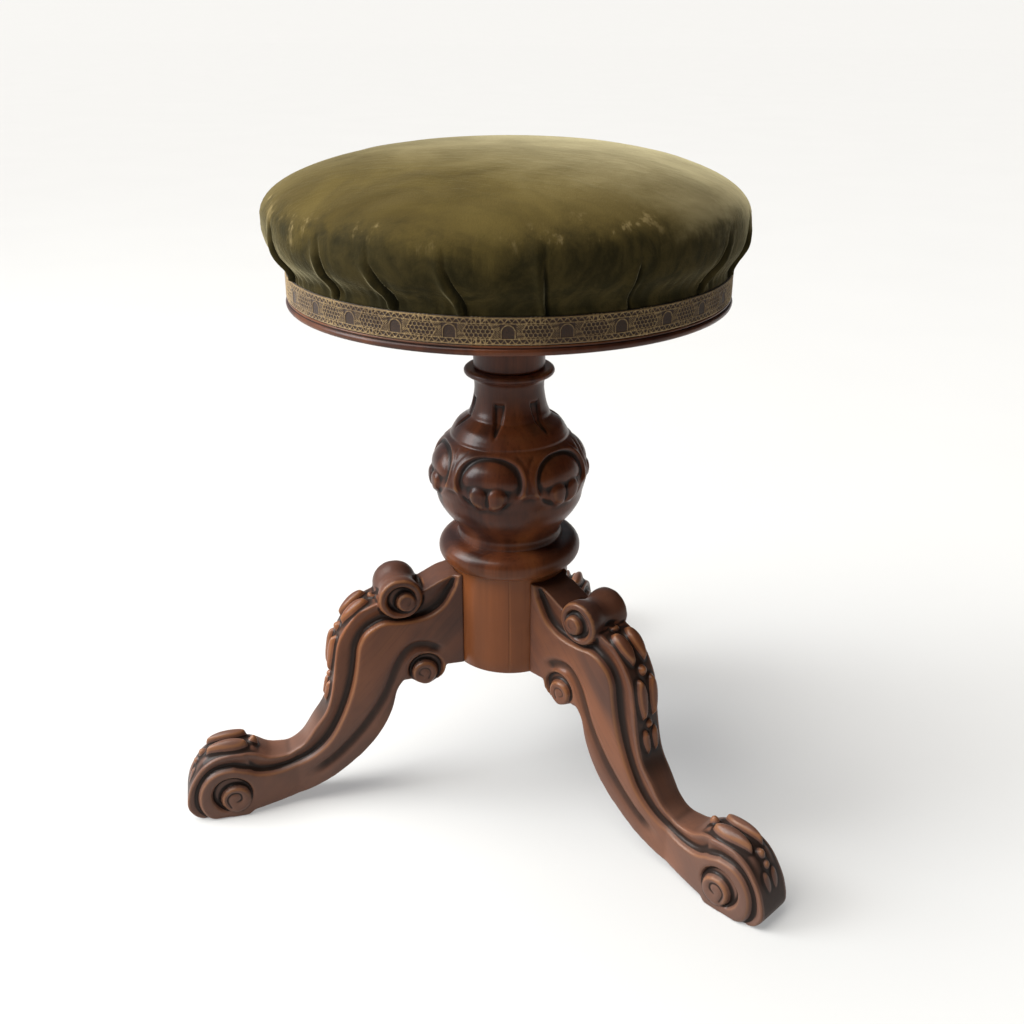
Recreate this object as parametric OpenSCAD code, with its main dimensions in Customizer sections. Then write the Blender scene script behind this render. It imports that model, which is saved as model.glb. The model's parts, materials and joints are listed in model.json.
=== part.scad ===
// Revolving piano stool: a round stuffed seat on an iron lifting screw,
// carried by a turned walnut column on three scrolled cabriole legs.
// Millimetres, +Z up. The origin lies on the floor, under the middle of the
// stool's bounding box. One leg points straight back, along +Y.

/* [Seat] */
// Radius of the walnut moulding round the seat
rim_r = 165; // [150:1:180]
// Radius of the cushion at its widest
cushion_r = 175.5; // [168:0.5:190]
// Height of the crown of the cushion, seat screwed right down
seat_h = 534; // [520:1:550]
// Height of the underside of the seat board
board_z = 424; // [420:1:430]
// Thickness of the seat board
board_t = 25; // [20:1:30]
// Thickness of the moulding, which fills a rebate under the board's edge
rim_t = 7; // [6:0.5:9]
// Thickness of the velvet, nap included
velvet_t = 1.6; // [1:0.2:2.4]
// Thickness of the cotton wadding under the velvet
wadding_t = 4.4; // [3:0.2:7]
// Thickness of the jute scrim that holds the horsehair
scrim_t = 1.2; // [0.8:0.2:2]
// Number of tacks that hold the velvet to the edge of the board
tack_count = 24; // [12:2:36]
// Number of screws that hold the moulding
rim_screw_count = 6; // [4:1:8]

/* [Column] */
// Height of the top of the column's ring
column_top = 369.5; // [360:0.5:380]
// Height of the underside of the hub
hub_z = 121.5; // [115:0.5:130]
// Radius of the hub, the plain drum that the legs join
hub_r = 48; // [44:1:52]
// Radius of the boss under the seat
boss_r = 27.8; // [25:0.1:30]

/* [Lifting screw] */
// Pitch of the screw thread
pitch = 8.5; // [6:0.5:10]
// Full turns from the lowest to the highest setting
turns = 13; // [8:1:13]
// Radius of the screw over its thread
screw_r = 11; // [10:0.5:12]
// Radius of the screw at the bottom of its thread
root_r = 8; // [7:0.25:8.5]
// Gap between the screw and the nut, all round
thread_gap = 0.4; // [0.3:0.05:0.5]
// Length of the iron nut's barrel
nut_h = 40; // [30:1:50]

/* [Legs] */
// Half the width of a leg across its flat cheeks
cheek_w = 20; // [18:0.5:22]
// Half the width of a leg across its carved outer face
face_w = 14.5; // [13:0.5:16]
// Half the width of the cheeks at the ankle
ankle_cheek_w = 14; // [12:0.5:16]
// Half the width of the outer face at the ankle
ankle_face_w = 10; // [9:0.5:12]
// Radius of the dowels that join the legs to the hub
dowel_r = 5; // [4:0.5:6]

/* [Hidden] */

$fn = 96;
eps = 0.01;

WALNUT = [0.34, 0.17, 0.09];
BEECH = [0.72, 0.55, 0.36];
IRON = [0.30, 0.30, 0.31];
VELVET = [0.42, 0.38, 0.18];

// Where the column stands: the seat reaches furthest forward, the rear foot furthest back.
foot_reach = 280;
axis_y = -(foot_reach - cushion_r) / 2;
leg_angles = [210, 330, 90];

// Lifting screw
bore_r = 16;
bore_floor = 190;
travel = pitch * turns;
flange_r = 25;
flange_t = 4;
nut_bottom = column_top - nut_h;
washer_t = 5;
washer_r = 15;
washer_top = nut_bottom - travel;
tail_r = 5;
tail_len = 16;
tail_top = washer_top + thread_gap;
thread_z0 = tail_top + pitch / 2;
thread_z1 = column_top - 4;
pin_r = 1.5;
pin_z = washer_top - washer_t - thread_gap - pin_r;
rest_gap = 0.3;

// Boss and top plate
boss_z = column_top + rest_gap;
boss_top_r = 34;
plate_r = 46;
plate_t = 4;
spigot_r = 8;
plate_screw_ring = 40;
boss_screw_ring = 24;

// Legs
dowel_heights = [138, 178];
dowel_in = 30;
dowel_out = 72;
root_z1 = 207.5;
tie_t = 3;
tie_arm_r = 57;
tie_arm_w = 8;
tie_leg_ring = 52;
tie_hub_ring = 27;
tie_screw_len = 14;

// Seat board
board_r = rim_r - 4;
rebate_r = 148;
board_top = board_z + board_t;
rim_top = board_z + rim_t;
braid_t = 1.8;
rim_screw_ring = 156;

// Tacks: each head presses into the velvet and stays under the braid
tack_len = 10;
tack_shank_r = 0.9;
tack_head_r = 3;
tack_head_t = 0.8;
tack_head_in = board_r + velvet_t - tack_head_t - 0.1;

// ---- curves ---------------------------------------------------------------

// Smooth curve through hand-chosen points, ends included.
function catmull(a, b, c, d, t) =
    0.5 * (2 * b + (c - a) * t + (2 * a - 5 * b + 4 * c - d) * t * t
           + (3 * b - a - 3 * c + d) * t * t * t);

function smooth(p, steps) =
    let (n = len(p) - 1)
    concat([for (i = [0 : n - 1], k = [0 : steps - 1])
                catmull(p[max(i - 1, 0)], p[i], p[i + 1], p[min(i + 2, n)], k / steps)],
           [p[n]]);

function arc(cx, cy, r, a0, a1, n) =
    [for (i = [0 : n]) let (a = a0 + (a1 - a0) * i / n) [cx + r * cos(a), cy + r * sin(a)]];

// ---- small iron pieces ----------------------------------------------------

// Countersunk wood screw, head flush at z = 0, pointing down.
module wood_screw(head_r, shank_r, length) {
    head_h = head_r - shank_r;
    rotate_extrude($fn = 32)
        polygon([[0, 0], [head_r, 0], [shank_r, -head_h], [shank_r, -length * 0.8], [0, -length]]);
}

module around(count, first = 0) {
    for (i = [0 : count - 1]) rotate([0, 0, first + i * 360 / count]) children();
}

module on_axis() {
    translate([0, axis_y, 0]) children();
}

// ---- column ---------------------------------------------------------------

// Half section of the turning, from the hub up to the ring.
column_section = concat(
    [[0, hub_z], [hub_r, hub_z], [hub_r, 207.8], [50, 207.8]],
    arc(47.2, 218.5, 10.6, -70, 80, 12),
    [[42.8, 229.5], [42.8, 231]],
    smooth([[42.4, 232], [41.4, 236], [43.3, 241], [47, 246.2], [52.6, 253.4], [57, 260.8],
            [60.3, 267.9], [63, 276], [63.9, 283], [62.5, 293], [58.6, 302.5], [52.6, 310.5],
            [46.5, 315]], 3),
    [[46.5, 317], [45.4, 318.8]],
    smooth([[44.6, 320.5], [41.2, 325.3], [36.5, 328.6], [32.2, 331.5]], 3),
    smooth([[31.2, 334.8], [29.7, 338.5], [28.2, 345], [27.2, 352], [27.2, 357]], 3),
    smooth([[27.8, 360], [29.6, 362.3], [32, 363.6]], 2),
    arc(32.6, 366.7, 2.7, -80, 80, 6),
    [[32.6, column_top], [0, column_top]]);

module leg_dowel_holes() {
    for (a = leg_angles, z = dowel_heights)
        rotate([0, 0, a]) translate([dowel_in, 0, z]) rotate([0, 90, 0])
            cylinder(r = dowel_r, h = dowel_out - dowel_in, $fn = 48);
}

module column() {
    color(WALNUT) on_axis() difference() {
        rotate_extrude() polygon(column_section);
        translate([0, 0, bore_floor]) cylinder(r = bore_r, h = column_top - bore_floor + 1);
        translate([0, 0, column_top - flange_t]) cylinder(r = flange_r, h = flange_t + 1);
        leg_dowel_holes();
        nut_screw_shapes();
        tie_plate_screw_shapes();
    }
}

// ---- legs -----------------------------------------------------------------

// Side view of a leg: x is the distance from the column's axis, y the height.
roll = [95, 187];
lower_scroll = [77, 120];
foot_scroll = [246, 23];

leg_underside = concat(
    [[232, 0]],
    smooth([[226, 3], [215, 4.5], [197, 7.5], [180, 12], [165, 19.5], [150, 29.5], [130, 47],
            [115, 66], [106, 84], [101, 102], [95, 111]], 3),
    smooth([[89, 111], [84, 108.5], [77, 105.5], [68, 107], [61.5, 113], [59, hub_z]], 2),
    [[hub_r - 4, hub_z]]);

leg_outer_edge = concat(
    [[hub_r - 4, root_z1]],
    smooth([[52, 204], [60, 199.5], [70, 194], [77.5, 191]], 3),
    arc(roll[0], roll[1], 18, 165, 10, 10),
    smooth([[117, 187], [128, 182.5], [139, 174], [149, 160], [154.5, 145], [156, 130],
            [156.5, 115], [159, 98], [164, 84], [172, 71], [182, 60], [192, 54], [202, 52],
            [213, 54], [225, 61], [238, 64.5], [251, 63.5], [263, 57.5], [272, 47],
            [278, 33], [foot_reach, 18], [276, 6], [266, 0]], 3));

leg_cheek_edge = concat(
    [[hub_r - 4, root_z1]],
    smooth([[50, 192], [59, 177], [70, 169], [82, 166], [96, 165.5], [108, 166.5], [117, 163.5],
            [125, 157], [130, 147], [132, 134], [135, 117], [140, 99], [147, 81], [156, 64],
            [166, 52], [177, 43.5], [190, 38], [205, 35.5], [219, 37], [229, 42]], 3),
    smooth([[240, 46], [252, 45], [262, 38.5], [268, 27], [268.5, 14], [264, 4], [257, 0]], 3));

// Plan view of half a leg's width, waisted at the ankle.
function leg_plan(w, w_ankle, reach) = concat(
    smooth([[0, w], [120, w], [160, (w + w_ankle) / 2 + 0.5], [188, w_ankle],
            [210, (w + w_ankle) / 2], [232, w], [reach, w]], 3),
    [[reach, -w]],
    smooth([[reach, -w], [232, -w], [210, -(w + w_ankle) / 2], [188, -w_ankle],
            [160, -(w + w_ankle) / 2 - 0.5], [120, -w], [0, -w]], 3));

module sawn(side, plan) {
    intersection() {
        rotate([90, 0, 0]) translate([0, 0, -30]) linear_extrude(60) polygon(side);
        translate([0, 0, -1]) linear_extrude(220) polygon(plan);
    }
}

module scroll_boss(centre, r, half_w) {
    translate([centre[0], half_w, centre[1]]) rotate([90, 0, 0])
        cylinder(r = r, h = 2 * half_w, $fn = 64);
}

module leg(angle) {
    color(WALNUT) on_axis() rotate([0, 0, angle]) difference() {
        union() {
            sawn(concat(leg_outer_edge, leg_underside), leg_plan(face_w, ankle_face_w, 290));
            sawn(concat(leg_cheek_edge, leg_underside), leg_plan(cheek_w, ankle_cheek_w, 290));
            scroll_boss(roll, 17.5, cheek_w);
            scroll_boss([90.5, 184], 8, cheek_w + 3);
            scroll_boss([78, 116], 9.5, cheek_w + 1.5);
            scroll_boss([241, 17], 9.5, cheek_w + 1.5);
        }
        cylinder(r = hub_r, h = 230);
        rotate([0, 0, -angle]) leg_dowel_holes();
        rotate([0, 0, -angle]) tie_plate_screw_shapes();
    }
}

module leg_left() { leg(leg_angles[0]); }
module leg_right() { leg(leg_angles[1]); }
module leg_rear() { leg(leg_angles[2]); }

module leg_dowels() {
    color(BEECH) on_axis() leg_dowel_holes();
}

// ---- iron under the hub ---------------------------------------------------

module tie_plate_screw_shapes() {
    for (a = leg_angles) {
        rotate([0, 0, a]) translate([tie_leg_ring, 0, hub_z - tie_t]) mirror([0, 0, 1])
            wood_screw(3.6, 1.8, tie_screw_len);
        rotate([0, 0, a + 60]) translate([tie_hub_ring, 0, hub_z - tie_t]) mirror([0, 0, 1])
            wood_screw(3.6, 1.8, tie_screw_len);
    }
}

module tie_plate() {
    color(IRON) on_axis() difference() {
        translate([0, 0, hub_z - tie_t]) union() {
            cylinder(r = 36, h = tie_t);
            for (a = leg_angles) rotate([0, 0, a]) translate([0, -tie_arm_w, 0])
                cube([tie_arm_r, 2 * tie_arm_w, tie_t]);
        }
        tie_plate_screw_shapes();
    }
}

module tie_plate_screws() {
    color(IRON) on_axis() tie_plate_screw_shapes();
}

// ---- lifting screw, nut and stop ------------------------------------------

// Ridge of a square thread as a closed sweep: the same ridge cuts the nut's groove.
thread_steps = 16;

function thread_rings(r_in, r_out, w_in, w_out, z0, n) =
    [for (i = [0 : n]) let (a = 360 * i / thread_steps, z = z0 + pitch * i / thread_steps)
        for (c = [[r_in, -w_in / 2], [r_out, -w_out / 2], [r_out, w_out / 2], [r_in, w_in / 2]])
            [c[0] * cos(a), c[0] * sin(a), z + c[1]]];

module thread(r_in, r_out, w_in, w_out, z0, z1) {
    n = floor((z1 - z0) / pitch * thread_steps);
    sides = [for (i = [0 : n - 1], k = [0 : 3]) let (a = 4 * i + k, b = 4 * i + (k + 1) % 4)
                [a, b, b + 4, a + 4]];
    polyhedron(points = thread_rings(r_in, r_out, w_in, w_out, z0, n),
               faces = concat([[3, 2, 1, 0]], sides, [[4 * n, 4 * n + 1, 4 * n + 2, 4 * n + 3]]),
               convexity = 10);
}

module nut_screw_shapes() {
    around(3, 30) translate([20.5, 0, column_top]) wood_screw(3.4, 1.7, 16);
}

module screw_nut() {
    groove_z0 = thread_z0 + pitch * floor((nut_bottom - pitch - thread_z0) / pitch);
    color(IRON) on_axis() difference() {
        union() {
            translate([0, 0, nut_bottom]) cylinder(r = bore_r, h = nut_h);
            translate([0, 0, column_top - flange_t]) cylinder(r = flange_r, h = flange_t);
        }
        translate([0, 0, nut_bottom - 1]) cylinder(r = root_r + thread_gap, h = nut_h + 2);
        thread(root_r - 0.5, screw_r + thread_gap, 5.4, 4.5, groove_z0, column_top + pitch);
        nut_screw_shapes();
    }
}

module nut_screws() {
    color(IRON) on_axis() nut_screw_shapes();
}

module lift_screw() {
    color(IRON) on_axis() difference() {
        union() {
            translate([0, 0, tail_top - tail_len]) cylinder(r = tail_r, h = tail_len + 1);
            translate([0, 0, tail_top]) cylinder(r = root_r, h = thread_z1 - tail_top + pitch);
            thread(root_r - 0.5, screw_r, 4.6, 3.7, thread_z0, thread_z1);
            translate([0, 0, thread_z1 + pitch / 2])
                cylinder(r = screw_r, h = board_z - thread_z1 - pitch / 2);
            translate([0, 0, board_z - 1]) cylinder(r = spigot_r, h = plate_t + 1);
        }
        stop_pin_shape();
    }
}

module stop_washer() {
    color(IRON) on_axis() translate([0, 0, washer_top - washer_t]) difference() {
        cylinder(r = washer_r, h = washer_t);
        translate([0, 0, -1]) cylinder(r = tail_r + thread_gap, h = washer_t + 2);
    }
}

module stop_pin_shape() {
    translate([-10, 0, pin_z]) rotate([0, 90, 0]) cylinder(r = pin_r, h = 20, $fn = 32);
}

module stop_pin() {
    color(IRON) on_axis() stop_pin_shape();
}

// ---- boss and top plate ---------------------------------------------------

boss_section = concat(
    [[screw_r, boss_z], [boss_r - 0.8, boss_z], [boss_r, boss_z + 0.8], [boss_r, 388],
     [boss_r + 1.6, 389.5], [boss_r + 1.6, 392]],
    smooth([[boss_r, 393.5], [boss_r - 1, 400], [boss_r + 0.6, 411], [boss_top_r - 1, 419]], 3),
    [[boss_top_r, 420], [boss_top_r, board_z], [screw_r, board_z]]);

module boss_screw_shapes() {
    around(3, 90) translate([boss_screw_ring, 0, board_z + plate_t]) wood_screw(3.8, 1.9, 24);
}

module boss() {
    color(WALNUT) on_axis() difference() {
        rotate_extrude() polygon(boss_section);
        boss_screw_shapes();
    }
}

module boss_screws() {
    color(IRON) on_axis() boss_screw_shapes();
}

module top_plate_screw_shapes() {
    around(4, 45) translate([plate_screw_ring, 0, board_z]) mirror([0, 0, 1])
        wood_screw(3.8, 1.9, 20);
}

module top_plate() {
    color(IRON) on_axis() difference() {
        translate([0, 0, board_z]) cylinder(r = plate_r, h = plate_t);
        translate([0, 0, board_z - 1]) cylinder(r = spigot_r, h = plate_t + 2);
        boss_screw_shapes();
        top_plate_screw_shapes();
    }
}

module top_plate_screws() {
    color(IRON) on_axis() top_plate_screw_shapes();
}

// ---- seat board and moulding ----------------------------------------------

module rim_screw_shapes() {
    around(rim_screw_count, 0) translate([rim_screw_ring, 0, board_z]) mirror([0, 0, 1])
        wood_screw(3.4, 1.7, 18);
}

module tack_shapes() {
    around(tack_count, 360 / tack_count / 2) translate([0, 0, rim_top + 8]) rotate([0, 90, 0]) {
        translate([0, 0, board_r - tack_len])
            cylinder(r = tack_shank_r, h = tack_head_in - board_r + tack_len + eps, $fn = 16);
        translate([0, 0, tack_head_in]) cylinder(r = tack_head_r, h = tack_head_t, $fn = 24);
    }
}

module seat_board() {
    color(BEECH) on_axis() difference() {
        union() {
            translate([0, 0, board_z]) cylinder(r = rebate_r, h = board_t, $fn = 180);
            translate([0, 0, rim_top]) cylinder(r = board_r, h = board_t - rim_t, $fn = 180);
        }
        translate([0, 0, board_z - 1]) cylinder(r = plate_r, h = plate_t + 1);
        top_plate_screw_shapes();
        rim_screw_shapes();
        tack_shapes();
    }
}

rim_section = concat(
    [[rebate_r, board_z], [rim_r - 3.2, board_z]],
    arc(rim_r - 2.6, board_z + 2.7, 2.6, -80, 80, 8),
    [[rim_r - 1.6, rim_top - 1.4], [rim_r - 1.2, rim_top], [rebate_r, rim_top]]);

module rim_moulding() {
    color(WALNUT) on_axis() difference() {
        rotate_extrude($fn = 180) polygon(rim_section);
        rim_screw_shapes();
    }
}

module rim_screws() {
    color(IRON) on_axis() rim_screw_shapes();
}

// ---- upholstery -----------------------------------------------------------

// Half section of the pad above the board, drawn in by d on every side:
// an S-shaped wall from the braid out to the widest line, then a low crown.
wide_z = 487.5;
crown_power = 0.9;

function pad(d) =
    let (r = cushion_r - d, h = seat_h - wide_z - d, neck = board_r + velvet_t - d)
    concat([[neck, board_top]],
           smooth([[neck + 0.8, board_top + 3], [neck + 3.5, board_top + 10],
                   [r - 3.2, wide_z - 18], [r - 0.6, wide_z - 7]], 4),
           [for (i = [0 : 24]) let (a = 90 * i / 24)
               [i == 24 ? 0 : r * pow(cos(a), crown_power), wide_z + h * pow(sin(a), crown_power)]]);

function backwards(p) = [for (i = [len(p) - 1 : -1 : 0]) p[i]];

module pad_solid(d) {
    on_axis() rotate_extrude($fn = 120) polygon(concat([[0, board_top]], pad(d)));
}

module pad_layer(d, t) {
    on_axis() rotate_extrude($fn = 120) polygon(concat(pad(d), backwards(pad(d + t))));
}

module horsehair_stuffing() {
    color([0.30, 0.24, 0.18]) pad_solid(velvet_t + wadding_t + scrim_t);
}

module scrim_cover() {
    color([0.66, 0.56, 0.38]) pad_layer(velvet_t + wadding_t, scrim_t);
}

module cotton_wadding() {
    color([0.90, 0.88, 0.82]) pad_layer(velvet_t, wadding_t);
}

module velvet_cover() {
    skirt = [[board_r, board_top], [board_r, rim_top], [board_r + velvet_t, rim_top]];
    color(VELVET) difference() {
        on_axis() rotate_extrude($fn = 120)
            polygon(concat(skirt, pad(0), backwards(pad(velvet_t))));
        on_axis() tack_shapes();
    }
}

module cover_tacks() {
    color(IRON) on_axis() tack_shapes();
}

module gimp_braid() {
    color([0.55, 0.43, 0.28]) on_axis() translate([0, 0, rim_top]) difference() {
        cylinder(r = board_r + velvet_t + braid_t, h = board_top - rim_top, $fn = 180);
        translate([0, 0, -1])
            cylinder(r = board_r + velvet_t, h = board_top - rim_top + 2, $fn = 180);
    }
}

column();
leg_left();
leg_right();
leg_rear();
leg_dowels();
tie_plate();
tie_plate_screws();
screw_nut();
nut_screws();
stop_washer();
lift_screw();
stop_pin();
boss();
boss_screws();
top_plate();
top_plate_screws();
seat_board();
rim_moulding();
rim_screws();
horsehair_stuffing();
scrim_cover();
cotton_wadding();
velvet_cover();
cover_tacks();
gimp_braid();
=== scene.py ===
import json
import math

import bmesh
import bpy
import numpy as np
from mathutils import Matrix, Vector
from mathutils.bvhtree import BVHTree

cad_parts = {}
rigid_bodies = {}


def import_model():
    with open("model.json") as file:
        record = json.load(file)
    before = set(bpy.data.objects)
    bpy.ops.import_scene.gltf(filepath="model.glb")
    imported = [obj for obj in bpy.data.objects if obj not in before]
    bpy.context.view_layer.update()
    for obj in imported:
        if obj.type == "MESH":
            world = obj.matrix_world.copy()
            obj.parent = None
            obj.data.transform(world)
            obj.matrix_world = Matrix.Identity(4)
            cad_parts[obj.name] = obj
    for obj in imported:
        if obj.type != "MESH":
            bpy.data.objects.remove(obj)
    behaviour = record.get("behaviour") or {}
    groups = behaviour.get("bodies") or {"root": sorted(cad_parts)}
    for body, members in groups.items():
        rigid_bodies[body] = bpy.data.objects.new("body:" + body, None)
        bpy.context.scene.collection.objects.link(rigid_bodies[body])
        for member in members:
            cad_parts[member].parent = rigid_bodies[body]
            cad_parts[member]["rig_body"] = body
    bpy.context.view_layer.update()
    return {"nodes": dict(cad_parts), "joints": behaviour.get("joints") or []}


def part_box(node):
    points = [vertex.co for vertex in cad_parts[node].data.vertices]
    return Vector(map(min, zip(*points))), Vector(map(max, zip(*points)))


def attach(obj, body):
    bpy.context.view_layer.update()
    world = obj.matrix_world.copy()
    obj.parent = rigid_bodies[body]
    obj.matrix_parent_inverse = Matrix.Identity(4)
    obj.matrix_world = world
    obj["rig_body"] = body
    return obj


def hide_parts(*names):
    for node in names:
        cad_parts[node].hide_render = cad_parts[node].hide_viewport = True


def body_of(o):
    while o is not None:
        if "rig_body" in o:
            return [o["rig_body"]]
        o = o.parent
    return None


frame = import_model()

# ---- Viewpoint, floor and light ---------------------------------------------
# The stool stands on a pale seamless floor in soft daylight: a large window in
# front and to the left, and paler light all round. Lengths are in metres.

turn = next(joint for joint in frame["joints"] if joint["name"] == "seat_turn")
AXIS = Vector((turn["pos_m"][0], turn["pos_m"][1], 0.0))

view_turn = math.radians(15.6)
view_pitch = math.radians(24.1)
view_distance = 0.8419
view_height = 0.6222
view_aside = 0.0021
sensor = 36.0

camera = bpy.data.objects.new("camera", bpy.data.cameras.new("camera"))
bpy.context.scene.collection.objects.link(camera)
bpy.context.scene.camera = camera
camera.data.sensor_width = sensor
camera.data.lens = 1.1035 * sensor
camera.data.clip_start = 0.02
camera.data.clip_end = 2000.0
camera.location = AXIS + Vector((
    view_distance * math.sin(view_turn) + view_aside * math.cos(view_turn),
    -view_distance * math.cos(view_turn) + view_aside * math.sin(view_turn),
    view_height,
))
camera.rotation_euler = (math.pi / 2 - view_pitch, 0.0, view_turn)


def colour(red, green, blue):
    """A paint colour from display values 0 to 255, as linear RGBA."""
    linear = [((c / 255 + 0.055) / 1.055) ** 2.4 if c > 10 else c / 3295 for c in (red, green, blue)]
    return (*linear, 1.0)


class Finish:
    """One material, with short ways to add and join its texture nodes."""

    def __init__(self, name, **constants):
        self.material = bpy.data.materials.new(name)
        self.material.use_nodes = True
        self.tree = self.material.node_tree
        self.shader = self.tree.nodes["Principled BSDF"]
        self.place = self.add("TexCoord").outputs["Object"]
        self.set(**constants)

    def feed(self, socket, value):
        if isinstance(value, bpy.types.NodeSocket):
            self.tree.links.new(value, socket)
        else:
            socket.default_value = value

    def set(self, **values):
        """Sets the shader's own sockets: base_color=..., coat_weight=..."""
        for name, value in values.items():
            label = {"ior": "IOR", "specular": "Specular IOR Level"}.get(name, name.replace("_", " ").title())
            self.feed(self.shader.inputs[label], value)

    def add(self, kind, inputs=(), **settings):
        node = self.tree.nodes.new("ShaderNode" + kind)
        for name, value in settings.items():
            setattr(node, name, value)
        for key, value in dict(inputs).items():
            self.feed(node.inputs[key], value)
        return node

    def stretched(self, scale, turned=(0.0, 0.0, 0.0)):
        """The piece's own coordinates, turned and then scaled along each axis."""
        spun = self.add("Mapping", {"Vector": self.place, "Rotation": turned}).outputs[0]
        return self.add("Mapping", {"Vector": spun, "Scale": scale}).outputs[0]

    def noise(self, scale, detail=3.0, where=None, roughness=0.5, distortion=0.0):
        return self.add("TexNoise", {
            "Vector": where or self.place, "Scale": scale, "Detail": detail,
            "Roughness": roughness, "Distortion": distortion,
        }).outputs["Fac"]

    def ramp(self, value, low, high, bottom=0.0, top=1.0):
        """Value eased from bottom at low to top at high."""
        return self.add("MapRange", {
            "Value": value, "From Min": low, "From Max": high, "To Min": bottom, "To Max": top,
        }, interpolation_type="SMOOTHSTEP").outputs[0]

    def sum(self, operation, first, second):
        return self.add("Math", {0: first, 1: second}, operation=operation).outputs[0]

    def mix(self, share, first, second, blend="MIX"):
        return self.add("Mix", {0: share, 6: first, 7: second}, data_type="RGBA",
                        blend_type=blend).outputs[2]

    def attribute(self, name):
        return self.add("Attribute", attribute_name=name).outputs["Fac"]

    def bump(self, height, distance, strength=1.0, under=None):
        """A bump of that many metres for a height of 1."""
        inputs = {"Height": height, "Distance": distance, "Strength": strength}
        if under:
            inputs["Normal"] = under
        return self.add("Bump", inputs).outputs[0]


floor_half, far_half, far_rise = 20.0, 80.0, 2.0
floor_mesh = bpy.data.meshes.new("floor")
floor_mesh.from_pydata(
    [(x * half, y * half, level) for half, level in ((floor_half, 0.0), (far_half, far_rise))
     for x, y in ((-1, -1), (1, -1), (1, 1), (-1, 1))],
    [], [(0, 1, 2, 3)] + [(n, n + 4, (n + 1) % 4 + 4, (n + 1) % 4) for n in range(4)])
floor = bpy.data.objects.new("floor", floor_mesh)
bpy.context.scene.collection.objects.link(floor)
paper = Finish("studio_paper", roughness=0.9, specular=0.1, emission_strength=0.31,
               emission_color=(0.985, 0.99, 0.99, 1.0))
paper.set(base_color=paper.mix(paper.noise(3.0), colour(163, 163, 162), colour(167, 167, 166)))
floor_mesh.materials.append(paper.material)


stool_middle = 0.3


def aim(light, distance, azimuth, elevation):
    """Puts a light round the stool, pointing at the middle of it. Azimuth 0 is in
    front, and 90 on the right."""
    turned, raised = math.radians(azimuth), math.radians(elevation)
    level = math.cos(raised)
    back = Vector((math.sin(turned) * level, -math.cos(turned) * level, math.sin(raised)))
    light.location = AXIS + Vector((0.0, 0.0, stool_middle)) + back * distance
    light.rotation_euler = back.to_track_quat("Z", "Y").to_euler()


def lamp(name, kind, energy, tint):
    light = bpy.data.objects.new(name, bpy.data.lights.new(name, kind))
    bpy.context.scene.collection.objects.link(light)
    light.data.energy, light.data.color = energy, tint
    return light


daylight = lamp("daylight", "SUN", 5.2, (1.0, 0.97, 0.92))
daylight.data.angle = math.radians(56)
aim(daylight, 4.0, -66, 60)
window = lamp("window", "AREA", 50.0, (0.93, 0.97, 1.0))
window.data.size = 1.1
aim(window, 2.2, -68, 26)

# The room is light on the window's side and dark on the other. Only the light comes from
# it: what shows above the floor is a plain pale backdrop.
world = bpy.data.worlds.new("studio")
bpy.context.scene.world = world
world.use_nodes = True
sky = world.node_tree
facing = sky.nodes.new("ShaderNodeVectorMath")
facing.operation = "DOT_PRODUCT"
facing.inputs[1].default_value = (-0.74, 0.12, 0.42)
sky.links.new(sky.nodes.new("ShaderNodeTexCoord").outputs["Generated"], facing.inputs[0])
wash = sky.nodes.new("ShaderNodeValToRGB")
wash.color_ramp.elements[0].color = (0.02, 0.02, 0.022, 1.0)
wash.color_ramp.elements[1].color = (0.68, 0.69, 0.72, 1.0)
sky.links.new(facing.outputs["Value"], wash.inputs[0])
backdrop = sky.nodes.new("ShaderNodeMix")
backdrop.data_type = "RGBA"
backdrop.inputs[7].default_value = (0.93, 0.93, 0.92, 1.0)
sky.links.new(sky.nodes.new("ShaderNodeLightPath").outputs["Is Camera Ray"], backdrop.inputs[0])
sky.links.new(wash.outputs[0], backdrop.inputs[6])
sky.links.new(backdrop.outputs[2], sky.nodes["Background"].inputs["Color"])
bpy.context.scene.view_settings.view_transform = "Standard"

# ---- Column ------------------------------------------------------------------
# A single walnut turning: drum-shaped hub, half-round torus, bulb, fluted neck and
# ring, bored from the top for the iron nut and screw. The bulb is carved with six
# hollowed cartouches, each with a domed oval over two hanging lobes.

# Sections are in millimetres: radius from the axis, then height.
MM = 0.001


def smooth(points, steps):
    """Catmull-Rom curve through the points, ends included."""
    p = np.array(points, float)
    p = np.vstack([p[:1], p, p[-1:]])
    t = np.linspace(0, 1, steps, endpoint=False)[:, None]
    runs = []
    for a, b, c, d in zip(p, p[1:], p[2:], p[3:]):
        runs.append(0.5 * (2 * b + (c - a) * t + (2 * a - 5 * b + 4 * c - d) * t ** 2
                           + (3 * b - a - 3 * c + d) * t ** 3))
    return np.vstack(runs + [p[-1:]]).tolist()


def arc(centre, radius, start, end, count):
    """Points round part of a circle, in degrees."""
    turns = np.radians(np.linspace(start, end, count + 1))
    return [[centre[0] + radius * math.cos(t), centre[1] + radius * math.sin(t)] for t in turns]


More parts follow.
